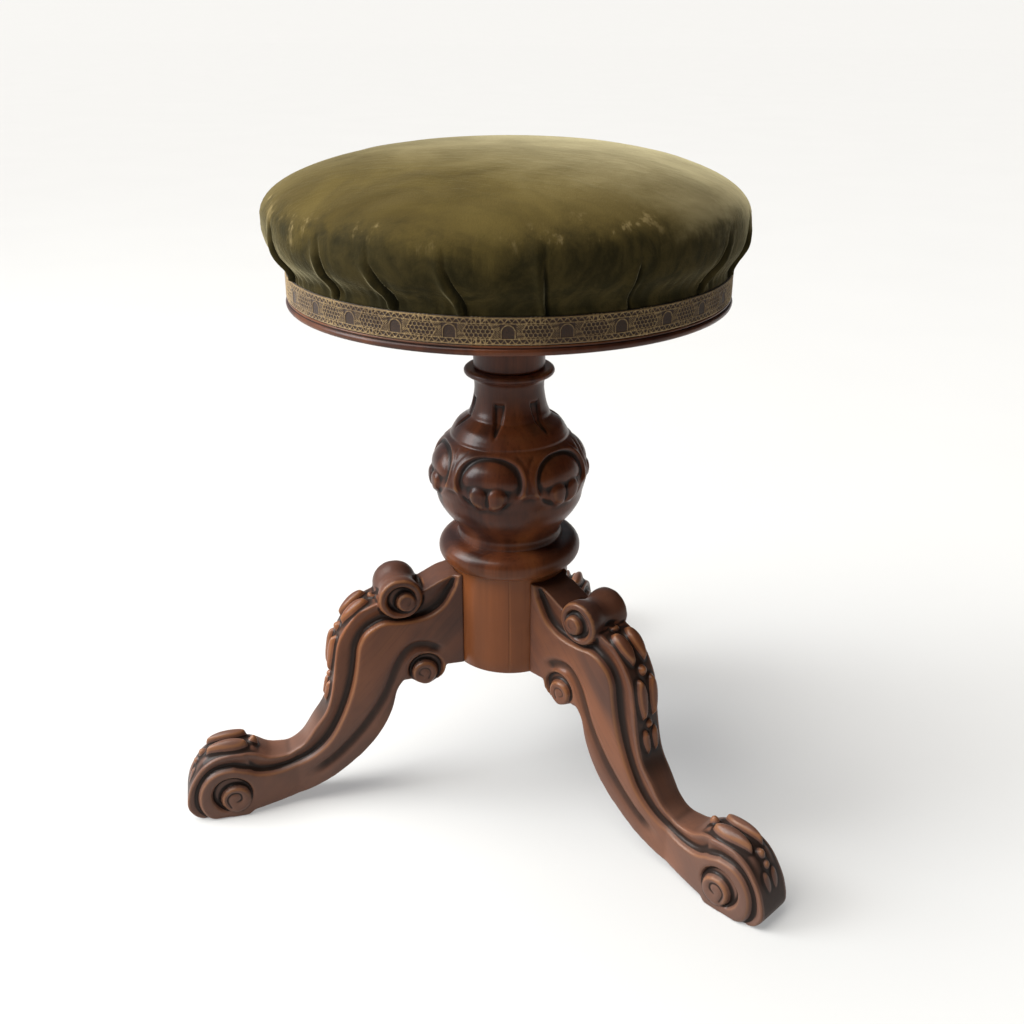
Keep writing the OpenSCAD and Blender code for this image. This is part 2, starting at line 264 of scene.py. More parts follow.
def resampled(points, spacing, round_off=0.0):
    """The line again with evenly spaced points, its corners rounded off over that length."""
    p = np.array(points, float)
    p = p[np.r_[True, np.linalg.norm(np.diff(p, axis=0), axis=1) > 1e-6]]
    run = np.r_[0, np.cumsum(np.linalg.norm(np.diff(p, axis=0), axis=1))]
    count = max(2, int(round(run[-1] / spacing)) + 1)
    if not round_off:
        at = np.linspace(0, run[-1], count)
        return np.stack([np.interp(at, run, p[:, k]) for k in (0, 1)], 1)
    fine = 0.1
    at = np.arange(0, run[-1] + fine, fine)
    line = np.stack([np.interp(at, run, p[:, k]) for k in (0, 1)], 1)
    reach = int(3 * round_off / fine)
    weights = np.exp(-0.5 * (np.arange(-reach, reach + 1) * fine / round_off) ** 2)
    weights /= weights.sum()
    padded = np.vstack([2 * line[0] - line[reach:0:-1], line, 2 * line[-1] - line[-2:-reach - 2:-1]])
    line = np.stack([np.convolve(padded[:, k], weights, "valid") for k in (0, 1)], 1)
    picked = np.linspace(0, len(line) - 1, count).round().astype(int)
    return line[picked]


def mesh_object(name, points, faces, sharp=None, **attributes):
    """A new piece from points in millimetres about the stool's axis. Attributes are one
    number for each point."""
    mesh = bpy.data.meshes.new(name)
    mesh.from_pydata((np.asarray(points) * MM).tolist(), [], [list(map(int, face)) for face in faces])
    for label, values in attributes.items():
        layer = mesh.attributes.new(label, "FLOAT", "POINT")
        layer.data.foreach_set("value", np.asarray(values, np.float32).ravel())
    mesh.shade_smooth()
    if sharp:
        mesh.set_sharp_from_angle(angle=math.radians(sharp))
    piece = bpy.data.objects.new(name, mesh)
    piece.location = AXIS
    bpy.context.scene.collection.objects.link(piece)
    return piece


def grid_faces(rows, columns, closed=False, first=0):
    """Quads of a grid whose columns run right round. Closed joins the last row to the first."""
    last = rows if closed else rows - 1
    i, j = np.meshgrid(np.arange(last), np.arange(columns), indexing="ij")
    k, m = (i + 1) % rows, (j + 1) % columns
    quads = np.stack([i * columns + j, i * columns + m, k * columns + m, k * columns + j], -1)
    return (first + quads.reshape(-1, 4)).tolist()


def turned(section, columns, relief=None):
    """Points and faces of a turning whose section starts and ends on the axis, or is a closed loop.
    Relief gives the carving, outward, for an array of rows by columns."""
    section = np.asarray(section, float)
    loop = section[0, 0] > 0.01
    rows = section if loop else section[1:-1]
    turns = np.linspace(0, 2 * np.pi, columns, endpoint=False)
    radius = rows[:, :1] + (0 if relief is None else relief)
    points = np.stack([radius * np.cos(turns), radius * np.sin(turns),
                       np.repeat(rows[:, 1:], columns, 1)], -1).reshape(-1, 3)
    faces = grid_faces(len(rows), columns, closed=loop)
    if not loop:
        count = len(points)
        points = np.vstack([points, [[0, 0, section[0, 1]], [0, 0, section[-1, 1]]]])
        last = count - columns
        for j in range(columns):
            after = (j + 1) % columns
            faces.append([count, after, j])
            faces.append([count + 1, last + j, last + after])
    return points, faces


def ease(value, low, high):
    """0 below low, 1 above high, smooth between."""
    t = np.clip((value - low) / (high - low), 0, 1)
    return t * t * (3 - 2 * t)


def line_distance(u, v, line):
    """Distance from each point (u, v) to a line of points, and how far along the line
    the nearest place is."""
    line = np.asarray(line, float)
    best = np.full(np.shape(u), 1e9)
    along = np.zeros(np.shape(u))
    run = 0.0
    for (au, av), (bu, bv) in zip(line, line[1:]):
        length = max(math.hypot(bu - au, bv - av), 1e-9)
        t = np.clip(((u - au) * (bu - au) + (v - av) * (bv - av)) / length ** 2, 0, 1)
        gap = np.hypot(u - au - t * (bu - au), v - av - t * (bv - av))
        nearer = gap < best
        best = np.where(nearer, gap, best)
        along = np.where(nearer, run + t * length, along)
        run += length
    return best, along


def outline_distance(u, v, outline):
    """Signed distance to a closed outline, negative inside."""
    ring = np.vstack([outline, outline[:1]])
    gap = line_distance(u, v, ring)[0]
    inside = np.zeros(np.shape(u), bool)
    for (au, av), (bu, bv) in zip(ring, ring[1:]):
        if av != bv:
            crosses = ((av > v) != (bv > v)) & (u < (bu - au) * (v - av) / (bv - av) + au)
            inside ^= crosses
    return np.where(inside, -gap, gap)


def drop_distance(u, v, start, end, start_r, end_r):
    """Signed distance to a tear-drop: a round that tapers along a line."""
    du, dv = end[0] - start[0], end[1] - start[1]
    t = np.clip(((u - start[0]) * du + (v - start[1]) * dv) / (du * du + dv * dv), 0, 1)
    return np.hypot(u - start[0] - t * du, v - start[1] - t * dv) - (start_r + t * (end_r - start_r))


def blurred(field, spread, wrap=True):
    """The field averaged over about that many cells each way."""
    out = field.astype(float)
    for axis, mode in ((0, "edge"), (1, "wrap" if wrap else "edge")):
        for _ in range(2):
            pad = [(0, 0)] * out.ndim
            pad[axis] = (spread, spread)
            total = np.cumsum(np.pad(out, pad, mode=mode), axis=axis)
            zero = np.zeros_like(np.take(total, [0], axis))
            total = np.concatenate([zero, total], axis)
            wide, size = 2 * spread + 1, out.shape[axis]
            out = (np.take(total, range(wide, wide + size), axis)
                   - np.take(total, range(0, size), axis)) / wide
    return out


hub_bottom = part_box("column")[0].z / MM
ring_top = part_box("column")[1].z / MM
hub_r, hub_top = 48, 207.8
nut_seat_r, nut_seat_floor, bore_r, bore_bottom = 25, 365.5, 16, 190
torus = arc((47.2, 218.5), 10.6, -70, 80, 24) + [[42.8, 229.5], [42.8, 231]]
bulb = smooth([
    [42.4, 232], [41.4, 236], [43.3, 241], [47, 246.2], [52.6, 253.4], [57, 260.8], [60.3, 267.9],
    [63, 276], [63.9, 283], [62.5, 293], [58.6, 302.5], [52.6, 310.5], [46.5, 315]], 8)
shoulder = [[46.5, 317], [45.4, 318.8]] + smooth(
    [[44.6, 320.5], [41.2, 325.3], [36.5, 328.6], [32.2, 331.5]], 6)
neck = smooth([[31.2, 334.8], [29.7, 338.5], [28.2, 345], [27.2, 352], [27.2, 357]], 6)
ring = smooth([[27.8, 360], [29.6, 362.3], [32, 363.6]], 4) + arc((32.6, 366.7), 2.7, -80, 80, 12)

outside = resampled(torus + bulb + shoulder + neck + ring + [[32.6, ring_top], [25.6, ring_top]], 0.95, 0.45)
column_rows = np.vstack([
    [[0, hub_bottom]], resampled([[10, hub_bottom], [hub_r - 0.6, hub_bottom]], 12),
    resampled([[hub_r, hub_bottom + 0.6], [hub_r, hub_top - 0.6]], 12), [[48.2, 207.7]], outside,
    [[nut_seat_r, ring_top - 0.3], [nut_seat_r, nut_seat_floor], [bore_r, nut_seat_floor],
     [bore_r, 300], [bore_r, 240], [bore_r, bore_bottom], [0, bore_bottom]]])
column_columns = 480

# The carving repeats every 60 degrees. Across it, a is measured in millimetres round the
# bulb, and b in millimetres up its surface from the widest line.
carving_turn, half_repeat, widest_z = math.radians(-90), math.radians(30), 283
turns = np.linspace(0, 2 * np.pi, column_columns, endpoint=False)
repeat = (turns - carving_turn + half_repeat) % math.radians(60) - half_repeat
run = np.r_[0, np.cumsum(np.linalg.norm(np.diff(column_rows, axis=0), axis=1))]
height = column_rows[:, 1]
widest = run[np.argmin(np.abs(height - widest_z) + 100 * (column_rows[:, 0] < 60))]
inner = slice(1, -1)
a = np.broadcast_to(60 * repeat, (len(column_rows) - 2, column_columns))
b = np.broadcast_to((run - widest)[inner, None], a.shape)
level = np.broadcast_to(height[inner, None], a.shape)
on_bulb = (b > -30) & (b < 36.5)

arch = smooth([
    [-20, -6], [-24.5, 2], [-26.5, 12], [-23, 24], [-13, 31.5], [0, 33.5], [14, 32], [24, 26],
    [28, 15], [26, 4], [19, -4], [9, -9], [-12, -9], [-20, -6]], 5)
hollow = outline_distance(a, b, arch)
oval = np.hypot(a / 22.5, (b - 18.5 + 0.012 * a ** 2) / 12.5)
dome = 3.9 * np.clip(1 - oval ** 2, 0, 1) ** 0.6
relief = -3.2 * ease(-hollow, 0, 2.0) * (0.5 + 0.5 * ease(b, -10, 8)) + dome * (hollow < 0)
for side in (-1, 1):
    lobe = drop_distance(side * a, b, (7.4, 1.5), (6.4, -8.5), 6.6, 4.4)
    relief = np.maximum(relief, np.where(lobe < 0.9, 2.3 * ease(-lobe, -0.9, 0.9)
                                         + 0.8 * ease(-lobe, 0, 5.5) - 2.0, -9))
    lancet = line_distance(side * a, b, smooth([[24, 34], [30.0, 25], [31.0, 14], [29, 5]], 5))[0]
    relief = relief - 1.3 * np.clip(1 - lancet / 1.3, 0, 1)
band_edge = -9 + 11 * (1 - np.cos(np.pi * np.clip(np.abs(a) / 31.4, 0, 1))) / 2
relief = relief - 2.2 * ease(band_edge - b, -0.3, 0.9) * ease(b, -24, -10)
relief = relief + 0.35 * np.clip(1 - np.abs(hollow - 1.2) / 1.2, 0, 1)
relief = np.where(on_bulb, relief, 0)

flute_half = 5.6 * np.clip((level - 323.5) / 23.5, 0, 1) ** 0.5
flute_inside = np.minimum(flute_half - np.abs(a * 0.5), 347 - level)
on_neck = (level > 322) & (level < 350) & (b > 20)
relief = relief - np.where(on_neck, 2.4 * ease(flute_inside, 0, 1.2), 0)
relief = blurred(relief, 1) * (column_rows[inner, :1] > 26)
# Painted shade and highlight: how deep each point lies in a hollow of the carving, which darkens it, or how
# far out on a round, which lightens it.
column_shade_and_wear = np.clip((blurred(relief, 4) - relief) / 1.4, -1, 1)

# A hairline runs up the drum where two planks of the blank are glued.
seam_angle, seam_depth = 360 - 74.4, 0.3
seam_column = int(round(math.radians(seam_angle) / (2 * math.pi) * column_columns))
on_drum = (level[:, 0] > hub_bottom + 0.3) & (level[:, 0] < hub_top) & (column_rows[inner, 0] > 47.5)
relief[on_drum, seam_column] -= seam_depth
column_shade_and_wear[on_drum, seam_column] = -1.0

points, faces = turned(column_rows, column_columns, relief)
column_shade_and_wear = np.r_[column_shade_and_wear.ravel(), 0, 0]
column = mesh_object("column_carved", points, faces, sharp=50, hollow=column_shade_and_wear)


def walnut(name, grain=(0.0, 0.0, 0.0), scuffed=0.0, lighter_below_torus=0.0):
    """French-polished walnut. Grain turns the figure from upright, scuffed is how dull
    and grey it has gone near the floor, and the last argument is how much lighter and
    more orange the wood is made below the torus."""
    wood = Finish(name, coat_weight=0.13, coat_roughness=0.20, specular=0.14)
    streaks = wood.noise(26.0, 5.0, wood.stretched((1.0, 1.0, 0.07), grain), 0.62, 0.6)
    figure = wood.noise(9.0, 3.0, wood.stretched((1.0, 1.0, 0.25), grain), 0.5, 1.4)
    pores = wood.noise(420.0, 2.0, wood.stretched((1.0, 1.0, 0.05), grain))
    patina = wood.noise(13.0, 4.0)
    brown = wood.mix(wood.ramp(streaks, 0.34, 0.66), colour(43, 20, 14), colour(84, 44, 25))
    brown = wood.mix(wood.ramp(figure, 0.42, 0.68, 0.0, 0.55), brown, colour(130, 74, 38))
    brown = wood.mix(wood.ramp(patina, 0.40, 0.66, 0.0, 0.66), brown, colour(40, 20, 17))
    brown = wood.mix(wood.ramp(pores, 0.52, 0.70, 0.0, 0.22), brown, colour(27, 13, 8))
    level = wood.add("SeparateXYZ", {0: wood.place}).outputs[2]
    bloom = wood.ramp(level, 0.19, 0.0, 0.3 * scuffed, scuffed)
    brown = wood.mix(bloom, brown, colour(118, 90, 78))
    brown = wood.mix(wood.ramp(level, 0.230, 0.200, 0.0, lighter_below_torus), brown, colour(158, 92, 46))
    # Painted shade and highlight: the hollow attribute darkens hollows, partly as old wax and partly as
    # painted shade. It lightens arrises and rounds, partly as rubbed wear and partly as painted highlight.
    shade_and_wear = wood.attribute("hollow")
    brown = wood.mix(wood.ramp(shade_and_wear, 0.06, 0.60, 0.0, 0.90), brown, colour(15, 9, 6))
    brown = wood.mix(wood.ramp(shade_and_wear, -0.35, -1.0, 0.0, 0.32), brown, colour(153, 103, 62))
    gloss = wood.ramp(patina, 0.35, 0.70, 0.30, 0.46)
    gloss = wood.sum("ADD", gloss, wood.ramp(shade_and_wear, 0.05, 0.5, 0.0, 0.22))
    fine = wood.bump(pores, -0.00008)
    wood.set(base_color=brown, roughness=gloss, normal=wood.bump(streaks, 0.00025, 0.6, fine))
    return wood.material


column.data.materials.append(walnut("walnut_column", lighter_below_torus=0.30))
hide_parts("column")
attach(column, "base")

# ---- Legs --------------------------------------------------------------------
# Three cabriole legs sawn from walnut plank and carved with a cove, husks, beads and
# three scrolls: at the knee, under it and at the foot. Each is scribed to the hub,
# and two dowels hold it there.

# From the side, x is the distance from the column's axis and z the height; y is across.
cheek_half, cheek_half_ankle = 20.0, 14.0
face_half, face_half_ankle = 14.5, 10.0
grid_step = 0.8
roll, roll_r, roll_eye = (95, 187), 18, (90.5, 184)
low_scroll, foot_eye = (77.5, 116.5), (240, 18)

underside = [[232, 0]] + smooth([
    [226, 3], [215, 4.5], [197, 7.5], [180, 12], [165, 19.5], [150, 29.5], [130, 47], [115, 66],
    [106, 84], [101, 102], [95, 111]], 4) + smooth([
    [89, 111], [84, 108.5], [77, 105.5], [68, 107], [61.5, 113], [59, 121.5]], 3) + [[34, 121.5]]
knee_edge = smooth([[34, 207.5], [40, 206], [47, 203], [60, 199], [70, 194], [76, 191]], 4)
knee_roll = arc(roll, roll_r, 168, -6, 24)
shin_edge = smooth([
    [112.4, 184.5], [119, 182], [129, 177], [139, 166], [147, 151], [150.5, 133.5], [152.5, 118],
    [156.5, 98], [161.5, 85], [170, 73], [180, 58.5], [190, 51.5], [197, 49.5], [210, 50.5],
    [222, 57], [235, 59.5], [250, 58.6], [262, 52.6], [270.5, 42.6], [277, 30], [280, 14], [275, 4],
    [268, 0]], 16)
face_line = knee_edge + knee_roll + shin_edge
cheek_line = [[34, 215], [46, 207.5]] + smooth([
    [50, 192], [59, 177], [70, 169], [82, 166], [96, 165.5], [108, 166.5], [117, 163.5], [125, 157],
    [130, 147], [132, 134], [135, 117], [140, 99], [147, 81], [156, 64], [166, 52], [177, 43.5],
    [190, 38], [205, 35.5], [219, 37], [229, 42]], 4) + smooth([
    [240, 46], [252, 45], [262, 38.5], [268, 27], [268.5, 14], [264, 4], [257, 0]], 4)

x_line = np.arange(40, 286, grid_step)
y_line = np.arange(0.5, 27 / grid_step) * grid_step
z_line = np.arange(-3, 212, grid_step)
x, z = np.meshgrid(x_line, z_line, indexing="ij")


def scroll_distance(centre, radius):
    return np.hypot(x - centre[0], z - centre[1]) - radius


def groove(line, half_width, depth, start=0.0, fade=1e9):
    """A round-bottomed gouge cut along a line, starting and fading out at those lengths."""
    gap, along = line_distance(x, z, smooth(line, 5))
    cut = depth * np.clip(1 - (gap / half_width) ** 2, 0, 1)
    return cut * ease(along, start - 6, start + 4) * (1 - ease(along, fade - 25, fade))


across = ([0, 120, 160, 188, 210, 232, 300], [1, 1, 0.55, 0, 0.5, 1, 1])
fullness = np.interp(x, *across)
cheek = cheek_half_ankle + (cheek_half - cheek_half_ankle) * fullness
face = face_half_ankle + (face_half - face_half_ankle) * fullness
body = outline_distance(x, z, np.array(face_line + underside))
cheek_gap = outline_distance(x, z, np.array(cheek_line + underside))
face_gap, face_run = line_distance(x, z, face_line)
face_signed = np.where(body < 0, -face_gap, 0)

# Half the width of the wood at each point of the side view: flat cheek, steep step
# down into the cove, and a raised fillet along the outer arris.
on_foot = ease(x - 0.35 * (z - 50), 226, 229)
cove_floor = face - 1.6
cove_share = np.clip(cheek_gap / (cheek_gap - face_signed + 1e-6), 0, 1)
half = cheek - (cheek - cove_floor) * ease(cheek_gap, -0.3, 3.0)
half = half + (face + 1.5 - cove_floor) * ease(cove_share, 0.30, 0.95) * (cheek_gap > 0)
half += 1.3 * on_foot * ease(cheek_gap, 0, 2) * ease(face_gap, 0, 3)

# Inner bead and its groove, and the hollow beside the lower scroll.
inner_depth = 3.0
inner_groove = groove([
    [62, 134], [72, 141], [83, 143], [91, 139], [98, 130], [103, 119], [109, 104], [117, 90],
    [130, 71], [145, 54], [159, 41], [174, 31], [190, 24], [206, 19]], 5.6, inner_depth, 4, 182)
half -= inner_groove
bead_gap = line_distance(x, z, underside[1:])[0]
half -= np.where((cheek_gap < 0) & (x > 84), 2.0 * np.clip(1 - bead_gap / 4.5, 0, 1) ** 2, 0)


def channel(ring, ring_r, eye, eye_r):
    """How far inside a channel a place is: between the eye and a ring set off from it."""
    return -np.maximum(scroll_distance(ring, ring_r), -scroll_distance(eye, eye_r))


def eye_proud(gap, rise):
    """Half the width again, with a scroll's eye rising from below the cheek's level."""
    return np.where(gap < 0, cheek - 1.5 + rise * ease(-gap, 0, 1.0), half)


# Scrolls at the knee, under it and at the foot: a flat coil, a channel that winds in round
# the eye, and the eye standing proud with a small curl cut in it.
roll_gap = scroll_distance(roll, roll_r)
half = np.where(roll_gap < 0, cheek - 0.4 + 0.9 * ease(-roll_gap, 0, 1.2), half)
half -= 5.0 * ease(channel((94.5, 186.4), 12.4, roll_eye, 7.6), -0.2, 1.6)
half = eye_proud(scroll_distance(roll_eye, 8), 3.5)
half -= 3.0 * ease(-np.abs(scroll_distance(roll, 18.6)), -1.3, 0) * (z < 196) * (cheek_gap < 3)

half -= (4.2 * ease(channel((76.5, 119.5), 15.0, low_scroll, 10.4), -0.2, 1.5)
         * ease(z - 0.4 * (x - 78), 106, 112))
low_gap = scroll_distance(low_scroll, 10.7)
half = eye_proud(low_gap, 3.0)
low_curl = groove([[79, 114], [82.5, 117], [80, 121], [75, 120.5], [73, 116], [75, 111]], 1.2, 1.5)
half -= np.where(low_gap < -1.5, low_curl, 0)

half -= (4.6 * ease(channel((243, 22.5), 17.0, foot_eye, 11.9), -0.2, 1.6)
         * ease(z + 0.25 * (x - 241), 6, 12))
foot_gap = scroll_distance(foot_eye, 12.2)
half = eye_proud(foot_gap, 3.0)
foot_curl = groove([[240, 16], [236, 18], [237, 23.5], [243, 24.5], [247.5, 19], [245, 10]], 1.5, 1.8)
half -= np.where(foot_gap < -1.2, foot_curl, 0)
roll_curl = groove([[90, 182], [87.5, 184], [88, 188], [92, 188.5], [95, 185]], 1.1, 1.3)
half -= roll_curl

half = 0.35 * half + 0.65 * blurred(half, 1)

# Relief on the outer face, by distance along it: s runs down from the knee, y across.
knee_start = line_distance(np.array(112.4), np.array(184.5), face_line)[1]
foot_start = line_distance(np.array(222.0), np.array(57.0), face_line)[1]
y = y_line[None, :, None]
s = (face_run - knee_start)[:, None, :]


def husk(at, length, height, half_width):
    """A pair of leaf-shaped lobes side by side: round heads at the top, tips at the bottom."""
    t = np.clip((s - at) / length, 0, 1)
    wide = half_width * 2.35 * np.sqrt(t) * (1 - t) ** 0.75
    middle = half_width + 1.8 - 1.2 * t
    gap = wide - np.abs(y - middle)
    over = (s > at) & (s < at + length) & (gap > -1)
    dome = 0.55 * ease(gap, -0.9, 1.7) + 0.45 * np.sqrt(np.clip(gap / half_width, 0, 1))
    return np.where(over, height * dome * ease(wide, 0, 2.5), 0)


def bead(at, radius, height):
    gap = np.hypot(s - at, y)
    return height * np.sqrt(np.clip(1 - (gap / radius) ** 2, 0, 1))


def softened(field, passes=1, axes=(0, 1, 2)):
    """The field with its steps and arrises worn round: a small average along each axis."""
    for _ in range(passes):
        for axis in axes:
            field = 0.5 * field + 0.25 * (np.roll(field, -1, axis) + np.roll(field, 1, axis))
    return field


foot_s = float(foot_start - knee_start)
carved = bead(2.5, 4.0, 7.0)
for at, length, height, wide in ((8, 28, 6.4, 5.9), (47, 35, 5.4, 5.0), (90, 21, 3.8, 3.8)):
    carved = np.maximum(carved, husk(at, length, height, wide))
for at, radius, height in ((41.5, 4.2, 5.0), (86, 3.4, 4.0), (foot_s + 1, 3.8, 6.2),
                           (foot_s + 41, 3.6, 4.6), (foot_s + 49, 3.2, 3.8)):
    carved = np.maximum(carved, bead(at, radius, height))
carved = np.maximum(carved, husk(foot_s + 6, 32, 6.8, 6.0))
carved = np.maximum(carved, husk(foot_s + 53, 17, 3.0, 3.2))
carved = softened(carved, 3, (0, 2))
plain = 0.9 * (1 - (y / face[:, None, :]) ** 2)
on_block = ease(s, foot_s - 4, foot_s + 3) * (1 - ease(s, foot_s + 36, foot_s + 60))
plain = plain + 2.2 * on_block * (1 - ease(y, 8.0, 13.5))
on_roll = (roll_gap < 3)[:, None, :] & (s < 2)
waist = -3.0 * (1 - ease(y, 1, 14))
relief = np.where(s > -0.01, plain + carved, 0) * (1 - ease(x, 270, 281))[:, None, :]
relief = np.where(on_roll, np.where(s > -2, np.maximum(waist, carved), waist), relief)

wide_enough = y - half[:, None, :]
in_outline = body[:, None, :] - relief * (face_gap < 22)[:, None, :]
roll_drum = np.maximum(roll_gap[:, None, :] + 3.0 * (1 - ease(y, 1, 14)), y - half[:, None, :])
solid = np.minimum(np.maximum(wide_enough, in_outline), roll_drum)
solid = np.maximum(solid, 0.15 - z[:, None, :])
full = np.concatenate([solid[:, ::-1], solid], axis=1).astype(np.float32)
both = np.r_[-y_line[::-1], y_line][None, :, None]
full = softened(full)
# How far each place lies in a hollow or out on an arris, for the walnut's painted shade and painted
# highlight.
shade_and_wear_field = softened(full, 4) - full
full = np.maximum(full, hub_r - np.sqrt(x[:, None, :] ** 2 + both ** 2))
dowel_r, dowel_end = 5.0, 72
for level in (138, 178):
    dowel_hole = dowel_r - np.sqrt(both ** 2 + (z[:, None, :] - level) ** 2)
    full = np.maximum(full, np.where(x[:, None, :] < dowel_end, dowel_hole, -9))


def skin(field, origin, step):
    """Surface of the solid where the field is below zero: one point in each cell it crosses,
    and a quad round each grid edge it crosses."""
    inside = field < 0
    near = inside[:-1, :-1, :-1]
    corners = [(i, j, k) for i in (0, 1) for j in (0, 1) for k in (0, 1)]
    count = np.zeros(near.shape, np.int8)
    for i, j, k in corners:
        count += inside[i:i + near.shape[0], j:j + near.shape[1], k:k + near.shape[2]]
    cells = np.argwhere((count > 0) & (count < 8))
    number = np.full(near.shape, -1, np.int32)
    number[tuple(cells.T)] = np.arange(len(cells))
    value = {c: field[tuple((cells + c).T)] for c in corners}
    place, hits = np.zeros((len(cells), 3)), np.zeros(len(cells))
    for c in corners:
        for axis in range(3):
            if c[axis]:
                continue
            d = tuple(1 if n == axis else c[n] for n in range(3))
            first, second = value[c], value[d]
            crossed = (first < 0) != (second < 0)
            share = np.where(crossed, first / np.where(crossed, first - second, 1), 0)
            spot = np.array(c, float) + share[:, None] * (np.array(d) - c)
            place += np.where(crossed[:, None], spot, 0)
            hits += crossed
    points = (cells + place / hits[:, None]) * step + origin
    quads = []
    for axis in range(3):
        one, two = (axis + 1) % 3, (axis + 2) % 3
        low = [slice(1, -1)] * 3
        low[axis] = slice(0, -1)
        high = list(low)
        high[axis] = slice(1, None)
        here, there = inside[tuple(low)], inside[tuple(high)]
        edges = np.argwhere(here != there)
        starts = here[tuple(edges.T)]
        edges = edges + [0 if n == axis else 1 for n in range(3)]
        step_one, step_two = np.eye(3, dtype=int)[one], np.eye(3, dtype=int)[two]
        ring = [number[tuple((edges - shift).T)]
                for shift in (0, step_one, step_one + step_two, step_two)]
        quad = np.stack(ring, 1)
        quad[~starts] = quad[~starts][:, ::-1]
        quads.append(quad)
    return points, np.vstack(quads), cells


def relaxed(points, faces, passes):
    """The points evened out: each one drawn halfway to the middle of its neighbours."""
    sides = ((0, 1), (1, 2), (2, 3), (3, 0), (1, 0), (2, 1), (3, 2), (0, 3))
    ends = np.vstack([faces[:, side] for side in sides])
    count = np.bincount(ends[:, 0], minlength=len(points))[:, None]
    for _ in range(passes):
        middle = np.stack([np.bincount(ends[:, 0], points[ends[:, 1], axis], len(points))
                           for axis in range(3)], 1)
        points = 0.5 * points + 0.5 * middle / count
    return points


def sampled(field, at):
    """A field's values at places between its grid points, given in grid steps."""
    low = np.clip(np.floor(at).astype(int), 0, np.array(field.shape) - 2)
    share = np.clip(at - low, 0, 1)
    total = 0.0
    for corner in ((i, j, k) for i in (0, 1) for j in (0, 1) for k in (0, 1)):
        weight = np.prod(np.where(corner, share, 1 - share), axis=1)
        total = total + weight * field[tuple((low + corner).T)]
    return total


origin = (x_line[0], -y_line[-1], z_line[0])
points, faces, cells = skin(full, origin, grid_step)
points = relaxed(points, faces, 5)
at_grid = (points - origin) / grid_step
# Painted shade in the leg's hollows, and painted highlight with wear on its arrises.
leg_shade_and_wear = np.clip(-sampled(shade_and_wear_field, at_grid) / 0.55, -1, 1)

# Painted shade darkens the grooves, which also hold some old wax, and the foot of the cove under the cheek's
# step, where its shadow falls. It also darkens the ground round the husks on the outer face, which is in
# shade and has some dark patina.
side_cell = (cells[:, 0], cells[:, 2])
half_grid = np.stack([at_grid[:, 0], np.abs(points[:, 1]) / grid_step - 0.5, at_grid[:, 2]], 1)
front = ease(face[side_cell] - np.abs(points[:, 1]), -0.2, 1.4) * ease(7 - face_gap[side_cell], 0, 3)
s_cell = s[:, 0][side_cell]
husk_ground = 1 - ease(sampled(carved, half_grid), 0.2, 2.4)
in_band = ease(s_cell, 0, 4) * (1 - 0.5 * ease(s_cell, 112, 150)) + 0.5 * ease(s_cell, foot_s - 6, foot_s)
cove_foot = ease(cheek_gap, 0.5, 3) * (1 - ease(cove_share, 0.25, 0.6))
leg_shade_and_wear += 0.46 * front * husk_ground * in_band
leg_shade_and_wear += (1 - front) * (0.24 * inner_groove[side_cell] / inner_depth + 0.34 * cove_foot[side_cell])
leg_shade_and_wear = np.clip(leg_shade_and_wear, -1, 1)
leg_walnut = walnut("walnut_leg", grain=(0.0, math.radians(42), 0.0), scuffed=0.5)
leg_names = {"leg_left": 210, "leg_right": 330, "leg_rear": 90}
leg_mesh = None
for node, angle in leg_names.items():
    if leg_mesh is None:
        leg = mesh_object(node + "_carved", points, faces, hollow=leg_shade_and_wear)
        leg_mesh = leg.data
        leg_mesh.materials.append(leg_walnut)
    else:
        leg = bpy.data.objects.new(node + "_carved", leg_mesh)
        bpy.context.scene.collection.objects.link(leg)
        leg.location = AXIS
    leg.rotation_euler = (0.0, 0.0, math.radians(angle))
    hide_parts(node)
    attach(leg, "base")

# ---- Dowels and the tie plate under the hub ----------------------------------
# Two beech dowels glue each leg to the hub. A three-armed plate of forged iron is
# screwed up into the hub and the legs, and keeps the joints from opening.


def finish_nodes(material, slot, *names):
    """Gives CAD pieces that stay as they are their material."""
    for name in names:
        piece = frame["nodes"][name]
        piece.data.materials.clear()
        piece.data.materials.append(material)


beech = Finish("beech", specular=0.35)
beech_rays = beech.noise(60.0, 4.0, beech.stretched((1.0, 0.12, 1.0)), 0.6)
beech_flecks = beech.noise(700.0, 2.0, beech.stretched((1.0, 0.10, 1.0)))
beech_tone = beech.mix(beech.ramp(beech_rays, 0.35, 0.65), colour(146, 108, 70), colour(186, 148, 104))
beech.set(
    base_color=beech.mix(beech.ramp(beech_flecks, 0.56, 0.68, 0.0, 0.5), beech_tone, colour(112, 74, 46)),
    roughness=beech.ramp(beech_rays, 0.3, 0.7, 0.55, 0.72),
    normal=beech.bump(beech_flecks, 0.00008))
finish_nodes(beech.material, "beech", "leg_dowels")


def iron(name, tone, rust, rough):
    """Forged iron: dark scale, hammer marks and a little rust."""
    metal = Finish(name, metallic=0.85, specular=0.5)
    scale = metal.noise(34.0, 5.0)
    pits = metal.noise(260.0, 3.0)
    dark = metal.mix(metal.ramp(scale, 0.35, 0.65), tone, tuple(1.7 * c for c in tone[:3]) + (1.0,))
    share = metal.sum("MULTIPLY", metal.ramp(scale, 0.50, 0.66), metal.ramp(pits, 0.42, 0.62, 0.0, rust))
    metal.set(
        base_color=metal.mix(share, dark, colour(104, 58, 34)),
        roughness=metal.ramp(pits, 0.3, 0.7, rough - 0.08, rough + 0.14),
        normal=metal.bump(pits, 0.00010, 1.0, metal.bump(scale, 0.0005)))
    return metal.material


